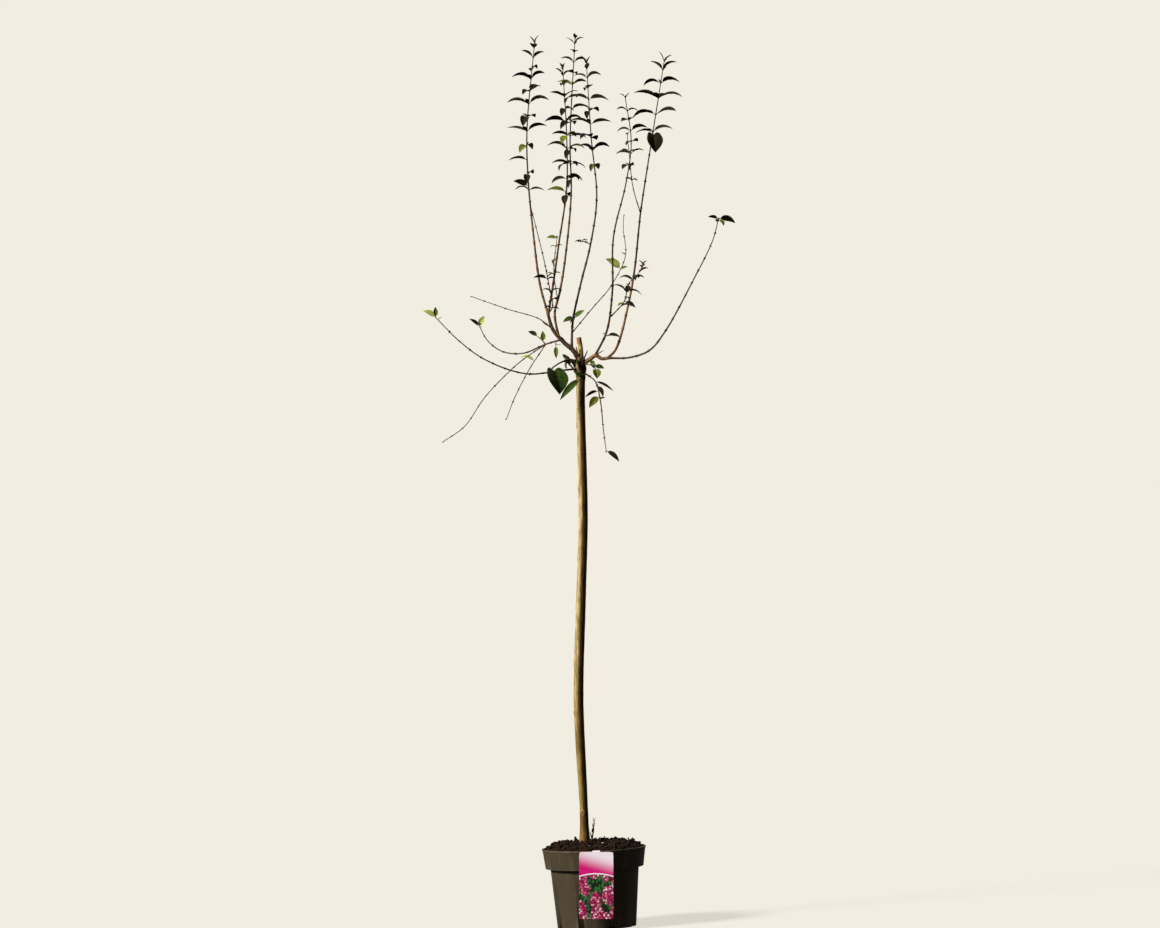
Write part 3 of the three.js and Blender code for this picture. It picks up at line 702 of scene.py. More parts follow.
# Each point keeps how much it faces the painted light side; the stem's far side is painted dark as painted
# shade.
marks = ("scar_ring", "scar_heart", "painted_light_side")
ring_mark, heart_mark, painted_light_mark = [stem_shape.verts.layers.float.new(name) for name in marks]
for vert in stem_shape.verts:
    spot = stem_inverse @ vert.co / MM
    turn = math.degrees(math.atan2(spot.y, spot.x - along(STEM_WAY_X, spot.z)))
    reach = scar_reach(spot.z, turn)
    vert[ring_mark] = hump(reach - 0.8, 0.35)
    vert[heart_mark] = hump(reach, 0.4)
    vert[painted_light_mark] = 0.5 + 0.5 * math.cos(math.radians(turn - PAINTED_LIGHT_TURN))
end_edges = [edge for edge in stem_shape.edges if edge.calc_face_angle(0) > END_ANGLE]
round_off(stem_shape, end_edges, END_ROUND, 2)
add_piece("clear_stem", stem_shape, [stem_bark], ["stem"], crease=60)

# The boughs and shoots
# The limbs of the crown, each one taper from root to tip. Two short boughs carry the uprights, and long
# thin wands arch out to both sides. Buds sit in opposite pairs on the bare stretches.
UNION = (-8, 0, 882)
OTHER_NODES = ("stem", "pot", "soil", "plant_label", "left_bough", "right_bough")
NODE_STEP = 25 * MM
BARE_START = 0.04
BARE_END = 0.97
LONGEST_UNJOINTED = 60 * MM
FLARE_REACH = 5 * MM
SWELLING = 0.28
SWELLING_REACH = 1.7 * MM
SWELLING_RING = 1.6 * MM
GOLD_TOP = 330
GOLD_FADE = 90
PLAIN_GLOW = 0.2
BASAL_GLOW = 0.1
THIN_SHOOT = 3
THIN_SIDES = 8
THICK_SIDES = 12
# How each kind of limb is made: between rings, how much its root flares, sides, and relief in millimetres.
BOUGH_MAKE = {"spacing": 2.2 * MM, "flare": 0.35, "sides": 20, "depth": 0.45}
SPUR_MAKE = {"spacing": 2.5 * MM, "flare": 0.6, "sides": 10, "depth": 0.3}
SHOOT_MAKE = {"spacing": 5 * MM, "flare": 0.45, "depth": 0.12}
BASAL_MAKE = {"spacing": 2.5 * MM, "flare": 0.3, "sides": 10, "depth": 0.15}
# Ways in millimetres from the union, thickness at root and tip, and how golden a bough's bark is.
BOUGHS = [
    ([(0, 0, -10), (-14, 0, 13), (-31, 2, 28), (-52, 5, 53), (-60, 8, 79)], (10, 5.4), 0.1),
    ([(0, 0, -14), (16, -4, -3), (27, -6, 4), (38, -8, -2), (49, -10, -1)], (8.6, 5.6), 0.9),
]
SPURS = [
    ([(3, -4, -8), (8, -9, 4), (12, -11, 13)], (3, 1.6)),
    ([(-2, -6, -14), (-7, -11, -4), (-12, -13, 2)], (3.2, 1.6)),
    ([(27, -6, 4), (33, -12, 8), (41, -16, 13)], (2.4, 1.2)),
    ([(-30, 2, 28), (-34, -6, 36), (-44, -10, 40)], (2.6, 1.4)),
    ([(-53, 5, 56), (-66, 0, 62), (-73, -2, 70)], (2.4, 1.2)),
    ([(-3, -3, -34), (-12, -9, -23), (-20, -12, -13)], (5, 2.8)),
    ([(0, 0, -4), (-6, -7, 8), (-9, -9, 20)], (3.6, 1.8)),
    ([(-14, -18, -8), (-22, -22, -3), (-27, -24, 2)], (5.4, 3.4)),
    ([(-24, -26, -5), (-28, -28, -13), (-27, -29, -20)], (4.4, 3)),
]
# A top or a rule sets opposite pairs, with bare wood below a top. Olive lists the heights of greener pairs,
# whose olive tint is partly painted light shining through the leaves.
# A leaf is (tint, share of the shoot, azimuth, length, rise at its root, rise at its tip, roll, width share).
SHOOTS = {
    "upright_1": dict(
        way=[(-60, 8, 79), (-75, 14, 134), (-88, 20, 234), (-97, 27, 330), (-99, 32, 420), (-85, 36, 580)],
        thick=(4.4, 1.4), glow=0.5,
        top=dict(start=0.46, longest=36, turns=(0, 64), seed=11), olive=[381, 392],
        leaves=[("shade", 0.475, 176, 30, 35, 0, 45, 0.5)],
    ),
    "upright_2": dict(
        way=[
            (-60, 8, 79), (-50, -10, 139), (-41, -32, 203), (-26, -64, 307), (-26, -84, 400), (-33, -95, 521),
        ],
        thick=(4.2, 1.4), glow=0.5,
        top=dict(start=0.5, longest=33, turns=(64, 0), seed=29), olive=[384, 398],
        leaves=[("olive", 0.51, 184, 36, 25, -15, -35, 0.42)],
    ),
    "upright_3": dict(
        way=[
            (-41, 3, 38), (-48, 2, 81), (-39, 4, 119), (-29, 8, 181), (-18, 13, 300), (-20, 17, 395),
            (-11, 20, 587),
        ],
        thick=(4.6, 1.4), glow=0.5,
        top=dict(start=0.53, longest=32, turns=(64, 0), seed=3), olive=[497, 507],
    ),
    "upright_4": dict(
        way=[
            (-17, 2, 20), (-15, 14, 66), (-1, 32, 134), (18, 58, 212), (29, 82, 298), (19, 102, 408),
            (10, 115, 549),
        ],
        thick=(4.4, 1.4), glow=0.1,
        top=dict(start=0.65, longest=34, turns=(64, 0), seed=41), olive=[366, 443],
    ),
    "upright_5": dict(
        way=[
            (26, -6, 4), (47, -18, 48), (57, -34, 119), (59, -52, 218), (82, -66, 317), (91, -74, 390),
            (80, -80, 471),
        ],
        thick=(4.2, 1.4), glow=0.15,
        top=dict(start=0.74, step=17, longest=27, turns=(64, 0), seed=57), olive=[379],
    ),
    "upright_6": dict(
        way=[
            (49, -10, -1), (64, -4, 16), (85, 4, 90), (98, 12, 161), (109, 22, 265), (122, 31, 351),
            (153, 45, 547),
        ],
        thick=(4.6, 1.4), glow=0.75, gold_top=190,
        top=dict(start=0.762, step=28, longest=40, turns=(0, 152), seed=9),
        leaves=[("shade", 0.762, 286, 42, -52, -84, 0, 0.8)],
    ),
    "right_arch": dict(
        way=[
            (49, -10, -1), (89, -22, 0), (125, -34, 13), (153, -46, 47), (204, -66, 140), (239, -82, 212),
            (249, -90, 251),
        ],
        thick=(4, 1.6),
        leaves=[
            ("shade", 1, 180, 20, 35, -15, 30), ("shade", 1, 0, 33, 15, -45, -35),
            ("olive", 0.99, 305, 22, 0, -70), ("shade", 0.975, 90, 15, 50, 10),
        ],
    ),
    "left_arch": dict(
        way=[(-37, 3, 33), (-65, 22, 25), (-107, 42, 9), (-145, 60, 13), (-172, 72, 33), (-188, 80, 61)],
        thick=(3.4, 1.6),
        leaves=[
            ("shade", 1, 178, 24, 48, 25, 30), ("lime", 1, 12, 22, 78, 48, 70),
            ("lime", 0.975, 275, 12, 40, -30),
        ],
    ),
    "long_left_arch": dict(
        way=[
            (0, 0, -20), (-31, -18, -23), (-101, -48, -30), (-174, -76, -5), (-220, -90, 28),
            (-264, -100, 72),
        ],
        thick=(3.4, 1.6),
        leaves=[
            ("lime", 1, 178, 26, 42, 12, -55), ("green", 1, 100, 20, 85, 70), ("lime", 0.975, 350, 9, 50, 20),
        ],
    ),
    "left_wand": dict(way=[(-49, 5, 49), (-75, 30, 71), (-138, 75, 92), (-203, 120, 116)], thick=(2, 1.4)),
    "hanging_twig_inner": dict(
        way=[(-65, 22, 25), (-78, 24, 5), (-92, 26, -16), (-121, 34, -71), (-137, 40, -112)],
        thick=(2, 1.4), leaves=[("lime", 0.24, 170, 28, 50, -20, -40, 0.34)],
    ),
    "hanging_twig_outer": dict(
        way=[(-65, 22, 25), (-113, 0, -9), (-174, -24, -71), (-212, -38, -126), (-251, -50, -154)],
        thick=(2, 1.4),
    ),
    "arch_node_leaves": dict(
        way=[(-65, 22, 25), (-71, 23, 32), (-81, 24, 41)], thick=(2, 1.4),
        leaves=[
            ("green", 0.3, 100, 20, 88, 72, 0, 0.5), ("deep", 1, 182, 20, 40, 12, 60),
            ("green", 0.7, 10, 10, 30, -10, 40),
        ],
    ),
    "hanging_leaf": dict(
        way=[(-46, 8, 31), (-46, 5, 24), (-46, 4, 20)], thick=(1.8, 1.4),
        leaves=[("green", 1, 275, 25, -60, -88, 0, 0.42), ("green", 0.7, 0, 10, 20, -20)],
    ),
    "inner_shoot_left": dict(
        way=[(-60, 8, 79), (-52, -8, 95), (-59, -18, 135), (-68, -30, 180), (-93, -60, 280)],
        thick=(2.2, 1.2), rule=dict(start=0.08, end=0.4, step=13, longest=17, turns=(0, 70), seed=5),
        leaves=[("shade", 0.34, 178, 27, 20, -12, 30), ("shade", 0.34, 356, 14, 30, -30, -20)],
    ),
    "inner_shoot_right": dict(
        way=[(-16, 8, 46), (22, 40, 93), (55, 62, 133), (82, 78, 190), (78, 86, 240), (79, 90, 265)],
        thick=(2, 1.2),
        leaves=[
            ("lime", 0.61, 178, 34, 50, 18, -55), ("green", 0.61, 2, 14, 40, 0, 40),
            ("shade", 0.2, 100, 9, 30, -10), ("shade", 0.72, 200, 10, 40, 0),
        ],
    ),
    "side_shoot_right": dict(
        way=[(55, -23, 75), (79, -40, 102), (86, -58, 132), (102, -76, 148), (113, -90, 167)],
        thick=(2.2, 1.4), rule=dict(start=0.22, end=1, step=13, longest=24, turns=(0, 70), seed=8),
        leaves=[("olive", 0.28, 190, 13, -10, -50, -30), ("shade", 0.3, 350, 24, -10, -50, 30)],
        olive=[167],
    ),
    "slender_twig": dict(
        way=[(109, 22, 265), (95, 2, 312), (88, -22, 370), (84, -45, 406)],
        thick=(1.8, 1.2), rule=dict(start=0.42, end=1, step=24, longest=14, turns=(0, 70), seed=2),
    ),
    "rear_twig": dict(
        way=[(-43, 4, 108), (-50, 30, 160), (-44, 60, 223)],
        thick=(1.8, 1.2), rule=dict(start=0.4, end=1, step=30, longest=14, turns=(0, 70), seed=6),
        tint="green", leaves=[("green", 0.98, 176, 20, 25, -20, -50, 0.5)],
    ),
    "spur_on_upright_4": dict(
        way=[(17, 57, 210), (6, 52, 214), (-4, 48, 215)],
        thick=(1.6, 1.2), rule=dict(start=0.5, end=1, step=6, longest=13, turns=(64, 0), seed=4),
    ),
    "low_leaves_on_upright_4": dict(
        way=[(-15, 14, 66), (-13, 9, 70), (-11, 4, 74)], thick=(1.8, 1.4),
        leaves=[
            ("green", 1, 2, 23, 50, 25, 50), ("deep", 0.9, 182, 23, -5, -35, -50),
            ("green", 0.7, 215, 13, -30, -60),
        ],
    ),
    "low_leaves_on_upright_5": dict(
        way=[(43, -15, 38), (48, -20, 40)], thick=(1.8, 1.4),
        leaves=[("shade", 1, 352, 26, 12, -25, 30), ("olive", 0.8, 200, 10, 50, 10)],
    ),
    "heart_leaf_twig": dict(
        way=[(0, 0, -12), (-18, -20, -4), (-36, -38, -9), (-53, -50, -20)], thick=(4.6, 2.4),
        leaves=[
            ("deep", 1, 300, 56, -50, -76, 0, 0.84), ("deep", 0.2, 262, 22, 0, -88, 0, 0.55),
            ("deep", 0.4, 150, 13, 50, 10, 40), ("shade", 0.42, 270, 14, -40, -80, 20),
            ("green", 0.5, 215, 15, 60, 30, 40),
        ],
    ),
    "leaves_under_union": dict(
        way=[(0, 0, -34), (0, -12, -37), (0, -18, -38)], thick=(2.4, 1.8),
        leaves=[
            ("deep", 1, 194, 57, -36, -56, -60, 0.26), ("deep", 0.8, 300, 18, 50, -20),
            ("deep", 0.9, 165, 19, 55, 20, 60),
        ],
    ),
    "leaves_right_of_union": dict(
        way=[(0, 0, -12), (15, -12, -13), (24, -18, -16), (28, -21, -23)], thick=(2.4, 1.6),
        leaves=[
            ("olive", 1, 285, 20, -40, -88, 0, 0.85), ("deep", 0.8, 352, 19, 10, -35, 75, 0.5),
            ("green", 0.6, 60, 14, 50, 20, 30, 0.7), ("deep", 0.64, 290, 14, 20, -85, 0, 0.85),
        ],
    ),
    "drooping_shoot": dict(
        way=[(0, 0, -24), (26, -22, -44), (35, -34, -77), (41, -46, -134), (46, -56, -172)], thick=(3, 1.4),
        leaves=[
            ("shade", 1, 350, 32, -20, -62, 60, 0.32), ("shade", 0.22, 356, 38, -22, -34, 30, 0.3),
            ("shade", 0.28, 320, 26, -30, -85, 30, 0.34), ("deep", 0.34, 186, 28, -12, -40, 40, 0.36),
            ("olive", 0.4, 205, 30, -30, -62, -55, 0.5), ("shade", 0.43, 20, 11, 30, -10, 30),
        ],
    ),
}
# The shoot at the stem's foot, in millimetres from there. Its leaves are (share, azimuth, length).
BASAL_WAY = [(14, -2, -14), (12, -4, 0), (14, -5, 14), (16, -6, 36)]
BASAL_THICK = (4.2, 1.2)
BASAL_LEAVES = [
    (0.32, 200, 15), (0.36, 20, 14), (0.52, 110, 12), (0.56, 290, 12), (0.72, 200, 11), (0.76, 20, 10),
    (0.96, 190, 9), (0.98, 10, 8),
]


def bark_relief(depth):
    """Shallow long furrows of a depth in millimetres."""

    def relief(outward, place):
        lines = noise.noise(Vector((outward.x * 2.2, outward.y * 2.2, place.z * 90)) + place * 30)
        return (lines + 0.5 * noise.noise(place * 500)) * depth * MM

    return relief


def node_shares(shoot, end):
    """The leaf joints of a bare stretch that ends at a share of the shoot."""
    count = int((end - BARE_START) * shoot.length / NODE_STEP)
    return [BARE_START + (index + 0.6) * NODE_STEP / shoot.length for index in range(count)]


def jointed_radius(shoot, joints, flare):
    """The taper, with a flare at the root and a small swelling at each leaf joint."""

    def radius_at(share):
        root = 1 + flare * math.exp(-share * shoot.length / FLARE_REACH)
        swelling = sum(hump((share - joint) * shoot.length, SWELLING_REACH) for joint in joints)
        return shoot.radius(share) * root * (1 + SWELLING * min(1, swelling))

    return radius_at


def with_joints(shoot, shares, joints):
    """Ring places with three more at each leaf joint."""
    step = SWELLING_RING / shoot.length
    extra = [joint + offset * step for joint in joints for offset in (-1, 0, 1)]
    kept = [share for share in shares if all(abs(share - place) > 0.6 * step for place in extra)]
    return sorted(kept + [share for share in extra if 0 < share < 1])


def marked_shape(*marks):
    """An empty bmesh that keeps a number at its points for each mark."""
    shape = bmesh.new()
    for mark in marks:
        shape.verts.layers.float.new(mark)
    return shape


def crown_height(place):
    """A place's height above the union in millimetres."""
    return stem_height(place) - UNION[2]


def add_limb(wood, shoot, glow, spacing, flare, sides, depth, joints=(), gold_top=GOLD_TOP):
    """Adds a shoot's limb, marked with how golden its bark is. The leafy tops stay dark."""
    shares = with_joints(shoot, even_shares(shoot, spacing), joints)
    limb = limb_shape(shoot, shares, jointed_radius(shoot, joints, flare), sides, bark_relief(depth))
    layer = limb.verts.layers.float.new("glow")
    for vert in limb.verts:
        vert[layer] = glow * held((gold_top - crown_height(vert.co)) / GOLD_FADE)
    join_shape(wood, limb)


twig_bark, paint = new_material("twig_bark")
skin = paint.grain(170, 4)
worn = skin.rising(0.35, 0.7)
pores = 1 - paint.cells(420, (1, 1, 1.6)).rising(0.1, 0.22)
twig_tone = paint.mark("glow").blend(worn.blend("1e130b", "4c3420"), worn.blend("6a4424", "a27a46"))
twig_tone = (paint.grain(40, 4).rising(0.6, 0.72) * 0.3).blend(twig_tone, "6e6044")
finish_material(
    twig_bark,
    Base_Color=(pores * 0.6).blend(twig_tone, "a88c60"),
    Roughness=0.5 + 0.25 * skin,
    Normal=paint.bump(skin + pores * 0.7, 0.4 * MM),
    Specular_IOR_Level=0.25,
)

boughs = marked_shape("glow")
for way, thick, glow in BOUGHS:
    add_limb(boughs, Shoot(way, thick, UNION), glow, **BOUGH_MAKE)
for way, thick in SPURS:
    add_limb(boughs, Shoot(way, thick, UNION), PLAIN_GLOW, **SPUR_MAKE)
add_piece("main_boughs", boughs, [twig_bark], ["left_bough", "right_bough"], crease=60)

lines = {name: Shoot(shoot["way"], shoot["thick"], UNION) for name, shoot in SHOOTS.items()}
shoot_wood = marked_shape("glow")
joints_of = {}
for name, shoot in SHOOTS.items():
    line = lines[name]
    bare_end = shoot["top"]["start"] if "top" in shoot else BARE_END
    joints = [] if line.length < LONGEST_UNJOINTED else node_shares(line, bare_end)
    joints_of[name] = joints
    glow, gold_top = shoot.get("glow", PLAIN_GLOW), shoot.get("gold_top", GOLD_TOP)
    sides = THICK_SIDES if line.thick[0] > THIN_SHOOT else THIN_SIDES
    add_limb(shoot_wood, line, glow, sides=sides, joints=joints, gold_top=gold_top, **SHOOT_MAKE)
basal_line = Shoot(BASAL_WAY, BASAL_THICK)
add_limb(shoot_wood, basal_line, BASAL_GLOW, **BASAL_MAKE)
shoot_nodes = [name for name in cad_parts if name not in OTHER_NODES]
add_piece("shoots_and_twigs", shoot_wood, [twig_bark], shoot_nodes, crease=60)

# The cut leader
# The old leader was sawn off just above the union. A short stub stands there, with a weathered
# orange-brown cut face and its bark still on.
STUB_WAY = [(0, 0, -14), (-1, 0, 12), (-4, 0, 37)]
STUB_THICK = (12, 9)
STUB_RING = 2 * MM
STUB_SIDES = 28
STUB_RELIEF = 0.35
# Heights between which the stub's bark turns from dark to pale, and from pale to red by the cut.
STUB_PALE = (1.036, 1.05)
STUB_RED = (1.062, 1.068)
stub_line = Shoot(STUB_WAY, STUB_THICK, UNION)
stub_rings = even_shares(stub_line, STUB_RING)
stub = limb_shape(stub_line, stub_rings, stub_line.radius, STUB_SIDES, bark_relief(STUB_RELIEF))
cut_face = max(stub.faces, key=lambda face: face.calc_center_median().z)
bmesh.ops.inset_region(stub, faces=[cut_face], thickness=0.9 * MM, depth=0.25 * MM)
cut_face.material_index = 1
heartwood, paint = new_material("heartwood")
centring = {"Vector": paint.place(), "Location": -stub_line.point(1)}
centred = paint.node("ShaderNodeMapping", {"vector_type": "POINT"}, centring)
rings = paint.node(
    "ShaderNodeTexWave",
    {"wave_type": "RINGS", "rings_direction": "Z"},
    {"Vector": centred, "Scale": 260, "Distortion": 1.5, "Detail": 2},
    1,
)
checks = paint.grain(700, 3)
finish_material(
    heartwood,
    Base_Color=checks.rising(0.6, 0.8).blend(rings.blend("b4763a", "dba562"), "6e4420"),
    Roughness=0.8,
    Normal=paint.bump(rings + checks, 0.2 * MM),
)
stub_bark, paint = new_material("stub_bark")
flakes = paint.grain(240, 4, (1, 1, 0.25))
stub_tone = flakes.rising(0.35, 0.65).blend("8e7238", "d2b878")
stub_tone = (paint.axis("Z").rising(*STUB_RED) * 0.8).blend(stub_tone, "8a5226")
stub_tone = (1 - paint.axis("Z").rising(*STUB_PALE)).blend(stub_tone, "4a3418")
finish_material(
    stub_bark,
    Base_Color=stub_tone,
    Roughness=0.75,
    Normal=paint.bump(flakes + paint.grain(900, 3) * 0.3, 0.6 * MM),
    Specular_IOR_Level=0.25,
)
add_piece("cut_leader", stub, [stub_bark, heartwood], crease=40)

# The buds
# Small pointed winter buds, two at each leaf joint and one at each tip, set close against the bark.
BUD_LENGTH = 3.4 * MM
BUD_WIDTH = 2.1 * MM
BUD_FLATNESS = 0.85
BUD_SIZES = (0.75, 1.15)
BUD_LEAN = 38
THIN_SHOOT_BUDS = 0.8
BUD_SEAT = 0.8
BUD_LIFT = 0.3
TIP_PLACE = 0.995
TIP_BUD = 1.1
TIP_LEAN = 4
BUDLESS_TIPS = ("arch_node_leaves", "hanging_leaf")
buds = bmesh.new()


def add_bud(shoot, share, turn, size, lean=BUD_LEAN):
    """One bud in a leaf's axil, leaning away from the shoot."""
    heading = shoot.heading(share)
    side = heading.orthogonal().normalized()
    side.rotate(Quaternion(heading, math.radians(turn)))
    point = heading.copy()
    point.rotate(Quaternion(heading.cross(side), math.radians(lean)))
    seat = shoot.point(share) + side * shoot.radius(share) * BUD_SEAT
    bud = bmesh.new()
    bmesh.ops.create_uvsphere(bud, u_segments=7, v_segments=5, radius=0.5)
    shape = Matrix.Diagonal((BUD_WIDTH * size, BUD_WIDTH * size * BUD_FLATNESS, BUD_LENGTH * size, 1))
    aim = Vector((0, 0, 1)).rotation_difference(point).to_matrix().to_4x4()
    lift = Matrix.Translation(seat + point * BUD_LENGTH * size * BUD_LIFT)
    join_shape(buds, bud, lift @ aim @ shape)


bud_scale, paint = new_material("bud_scale")
finish_material(
    bud_scale,
    Base_Color=paint.grain(900, 2).rising(0.4, 0.65).blend("2c2013", "5c4a24"),
    Roughness=0.6,
    Normal=paint.bump(paint.grain(1500, 2), 0.2 * MM),
    Specular_IOR_Level=0.25,
)
for name, joints in joints_of.items():
    line = lines[name]
    for index, joint in enumerate(joints):
        size = rng.uniform(*BUD_SIZES) * (THIN_SHOOT_BUDS if line.thick[0] < THIN_SHOOT else 1)
        for side in (0, 180):
            add_bud(line, joint, 90 * (index % 2) + side, size)
    if name not in BUDLESS_TIPS:
        add_bud(line, TIP_PLACE, 0, TIP_BUD, TIP_LEAN)

# The leaves
# Small pointed oval leaves in opposite pairs, each turned from the pair below. They arch out on their
# thin stalks and fold along the midrib. The top ones are frost-darkened and painted near black as painted
# shade, and the low stay green.
PAIR_STEP = 22
PAIR_CROWDING = 1.25
PAIR_STRAY = 36
SMALLEST_SHARE = 0.35
SIZE_START = 0.25
SIZE_SPAN = 0.7
ROOT_RISE = 42
TOP_ROOT_RISE = 70
RISE_STRAY = 34
TIP_RISE = -32
TOP_TIP_RISE = 30
TIP_STRAY = 58
ROOT_HANG = 50
TIP_HANG = 62
FAR_HANG = 0.25
ROLL_STRAY = 50
SIDE_LENGTH = 1.15
FACING_LENGTH = 0.8
LENGTH_STRAY = 0.3
MISSING_SHARE = 0.09
UNBROKEN_TOP = 0.9
OLIVE_REACH = 9
LEAF_BUD = 0.9
# A small leaf that grows beside some longer ones: its chance, share of their length, turn, rises and roll.
SMALL_LEAF_CHANCE = 0.45
SMALL_LEAF_BESIDE = 14
SMALL_LEAF_SHARE = 0.38
SMALL_LEAF_TURNS = (-55, 55)
SMALL_LEAF_BEND = (55, 15, 20)
# A basal leaf's rise at its root and at its tip, roll and width share.
BASAL_LEAF_BEND = (70, 82, 0, 0.36)
LEAF_SUNK = 2 * MM
LEAF_STEPS = 24
LEAF_WIDTH = 0.54
LEAF_THICKNESS = 0.4 * MM
LEAF_MERGE = 0.05 * MM
LEAF_RIPPLE = 0.012
STALK_SHARE = 0.15
STALK_RADIUS = 0.62 * MM
STALK_TAPER = 0.85
STALK_RINGS = (0, 0.07, 0.15, 0.4, 0.65, 0.9)
STALK_SIDES = 5
BLADE_FOLD = 30
BLADE_FOLDS = (0.4, 1.3)
BLADE_LOBE = 0.025
BLADE_WIDEST = 0.72
BLADE_FULLNESS = 0.85
BLADE_POINT = 0.25
BLADE_GRID = (4, 8)
HEART_WIDTH = 0.75
HEART_FOLD = 24
HEART_LOBE = 0.11
HEART_GRID = (8, 16)
# Each tint: the blade's dark and light tones, and the tone of its margin and veins.
TINTS = {
    # The shade tint is partly the frost-dark colour of the top leaves and partly painted shade, near black
    # for the backlit crown top.
    "shade": ("120d04", "241d0b", "4a4520"),
    # The olive tint is olive leaf colour, painted lighter as painted light for light shining through the
    # blade.
    "olive": ("465012", "707a24", "989838"),
    "deep": ("202f08", "364c14", "546222"),
    "green": ("3c5418", "64782a", "929a3e"),
    "lime": ("929a3e", "b8c058", "ced678"),
}
# Each leaf keeps how far its points lie from the midrib and along it, for its material.
foliage = {tint: marked_shape("rib", "vein") for tint in TINTS}


def dice(seed):
    """A repeatable stream of numbers between 0 and 1."""
    state = seed * 7919
    while True:
        state = (state * 16807) % 2147483647
        yield state / 2147483647


def paired_leaves(length, start, longest, turns, seed, end=1, step=PAIR_STEP):
    """Opposite pairs that crowd towards the tip. Leaves on the near side hang more."""
    chance = dice(seed)

    def around(middle, spread):
        return middle + spread * (next(chance) - 0.5)

    pairs = round((end - start) * length / step)
    for pair in range(pairs + 1):
        height = pair / pairs
        swell = math.sin(math.pi * (SIZE_START + SIZE_SPAN * height))
        size = longest * (SMALLEST_SHARE + (1 - SMALLEST_SHARE) * swell)
        share = blend_value(end, start, (1 - height) ** PAIR_CROWDING)
        for side in (0, 180):
            azimuth = around(turns[pair % 2] + side, PAIR_STRAY)
            nearness = -math.sin(math.radians(azimuth))
            leaf_length = size * around(blend_value(SIDE_LENGTH, FACING_LENGTH, nearness**2), LENGTH_STRAY)
            hang = nearness**2 * (1 if nearness > 0 else FAR_HANG)
            near_top = height**4
            root_rise = around(blend_value(ROOT_RISE - ROOT_HANG * hang, TOP_ROOT_RISE, near_top), RISE_STRAY)
            tip_rise = around(blend_value(TIP_RISE - TIP_HANG * hang, TOP_TIP_RISE, near_top), TIP_STRAY)
            roll = around(0, ROLL_STRAY)
            if next(chance) > MISSING_SHARE or height > UNBROKEN_TOP:
                yield share, azimuth, leaf_length, root_rise, tip_rise, roll


def blade_width(share):
    """The outline's half width: round at the base, widest a third along, drawn out to a point."""
    return math.sin(math.pi * share**BLADE_WIDEST) ** BLADE_FULLNESS * (1 - BLADE_POINT * share**3)


class Midrib:
    """A leaf's arching centre line, from its root in the twig to its tip."""

    def __init__(self, root, azimuth, length, rise, droop, roll):
        turn = math.radians(azimuth)
        outward = plant_place.to_3x3() @ Vector((math.cos(turn), math.sin(turn), 0))
        up = plant_place.to_3x3() @ Vector((0, 0, 1))
        self.centres = [root.copy()]
        self.frames = []
        for step in range(LEAF_STEPS + 1):
            pitch = math.radians(blend_value(rise, droop, step / LEAF_STEPS))
            forward = outward * math.cos(pitch) + up * math.sin(pitch)
            side = up.cross(outward)
            side.rotate(Quaternion(forward, math.radians(roll)))
            self.frames.append((forward, side, forward.cross(side)))
            self.centres.append(self.centres[-1] + forward * length / LEAF_STEPS)

    def at(self, share):
        """The centre and the forward, side and upper directions at a share of the leaf."""
        place = held(share) * LEAF_STEPS
        low = min(int(place), LEAF_STEPS - 1)
        centre = self.centres[low].lerp(self.centres[low + 1], place - low)
        return centre, self.frames[low]


def thicken(sheet, thickness):
    """Gives a sheet its thickness."""
    face_outwards(sheet)
    bmesh.ops.solidify(sheet, geom=sheet.faces, thickness=thickness)


def leaf_blade(midrib, length, width, fold, lobe, columns, rows):
    """The blade: a grid bent along the midrib, folded up beside it, with a ripple at the side veins."""
    blade = marked_shape("rib", "vein")
    rib = blade.verts.layers.float["rib"]
    vein = blade.verts.layers.float["vein"]
    bmesh.ops.create_grid(blade, x_segments=columns, y_segments=rows, size=0.5)
    for vert in blade.verts:
        across = 2 * vert.co.x
        share = vert.co.y + 0.5
        row = round(share * rows)
        centre, (forward, side, upper) = midrib.at(STALK_SHARE + (1 - STALK_SHARE) * share)
        half = width * length / 2 * max(0.0, blade_width(share)) + 2 * lobe * length * (1 - share) ** 10
        drawn_back = lobe * length * math.sin(0.6 * math.pi * abs(across)) * (1 - share) ** 4
        lift = abs(across) * half * math.sin(math.radians(fold)) * (1 - 0.3 * abs(across))
        ripple = LEAF_RIPPLE * length * (abs(across) == 0.5) * (1 if row % 2 else -1) * (0 < row < rows)
        vert.co = centre + side * across * half * math.cos(math.radians(fold))
        vert.co += upper * (lift + ripple) - forward * drawn_back
        vert[rib] = abs(across)
        vert[vein] = share
    bmesh.ops.remove_doubles(blade, verts=blade.verts, dist=LEAF_MERGE)
    thicken(blade, LEAF_THICKNESS)
    return blade


def leaf_stalk(midrib):
    """The stalk, which runs on under the blade as its raised midrib."""
    rings = []
    for share in STALK_RINGS:
        middle, (forward, _, upper) = midrib.at(share)
        radius = STALK_RADIUS * (1 - STALK_TAPER * share)
        rings.append((middle - upper * radius * (share > 0.1) * 0.4, forward, radius))
    stalk, _ = drawn_tube(rings, STALK_SIDES)
    face_outwards(stalk)
    return stalk


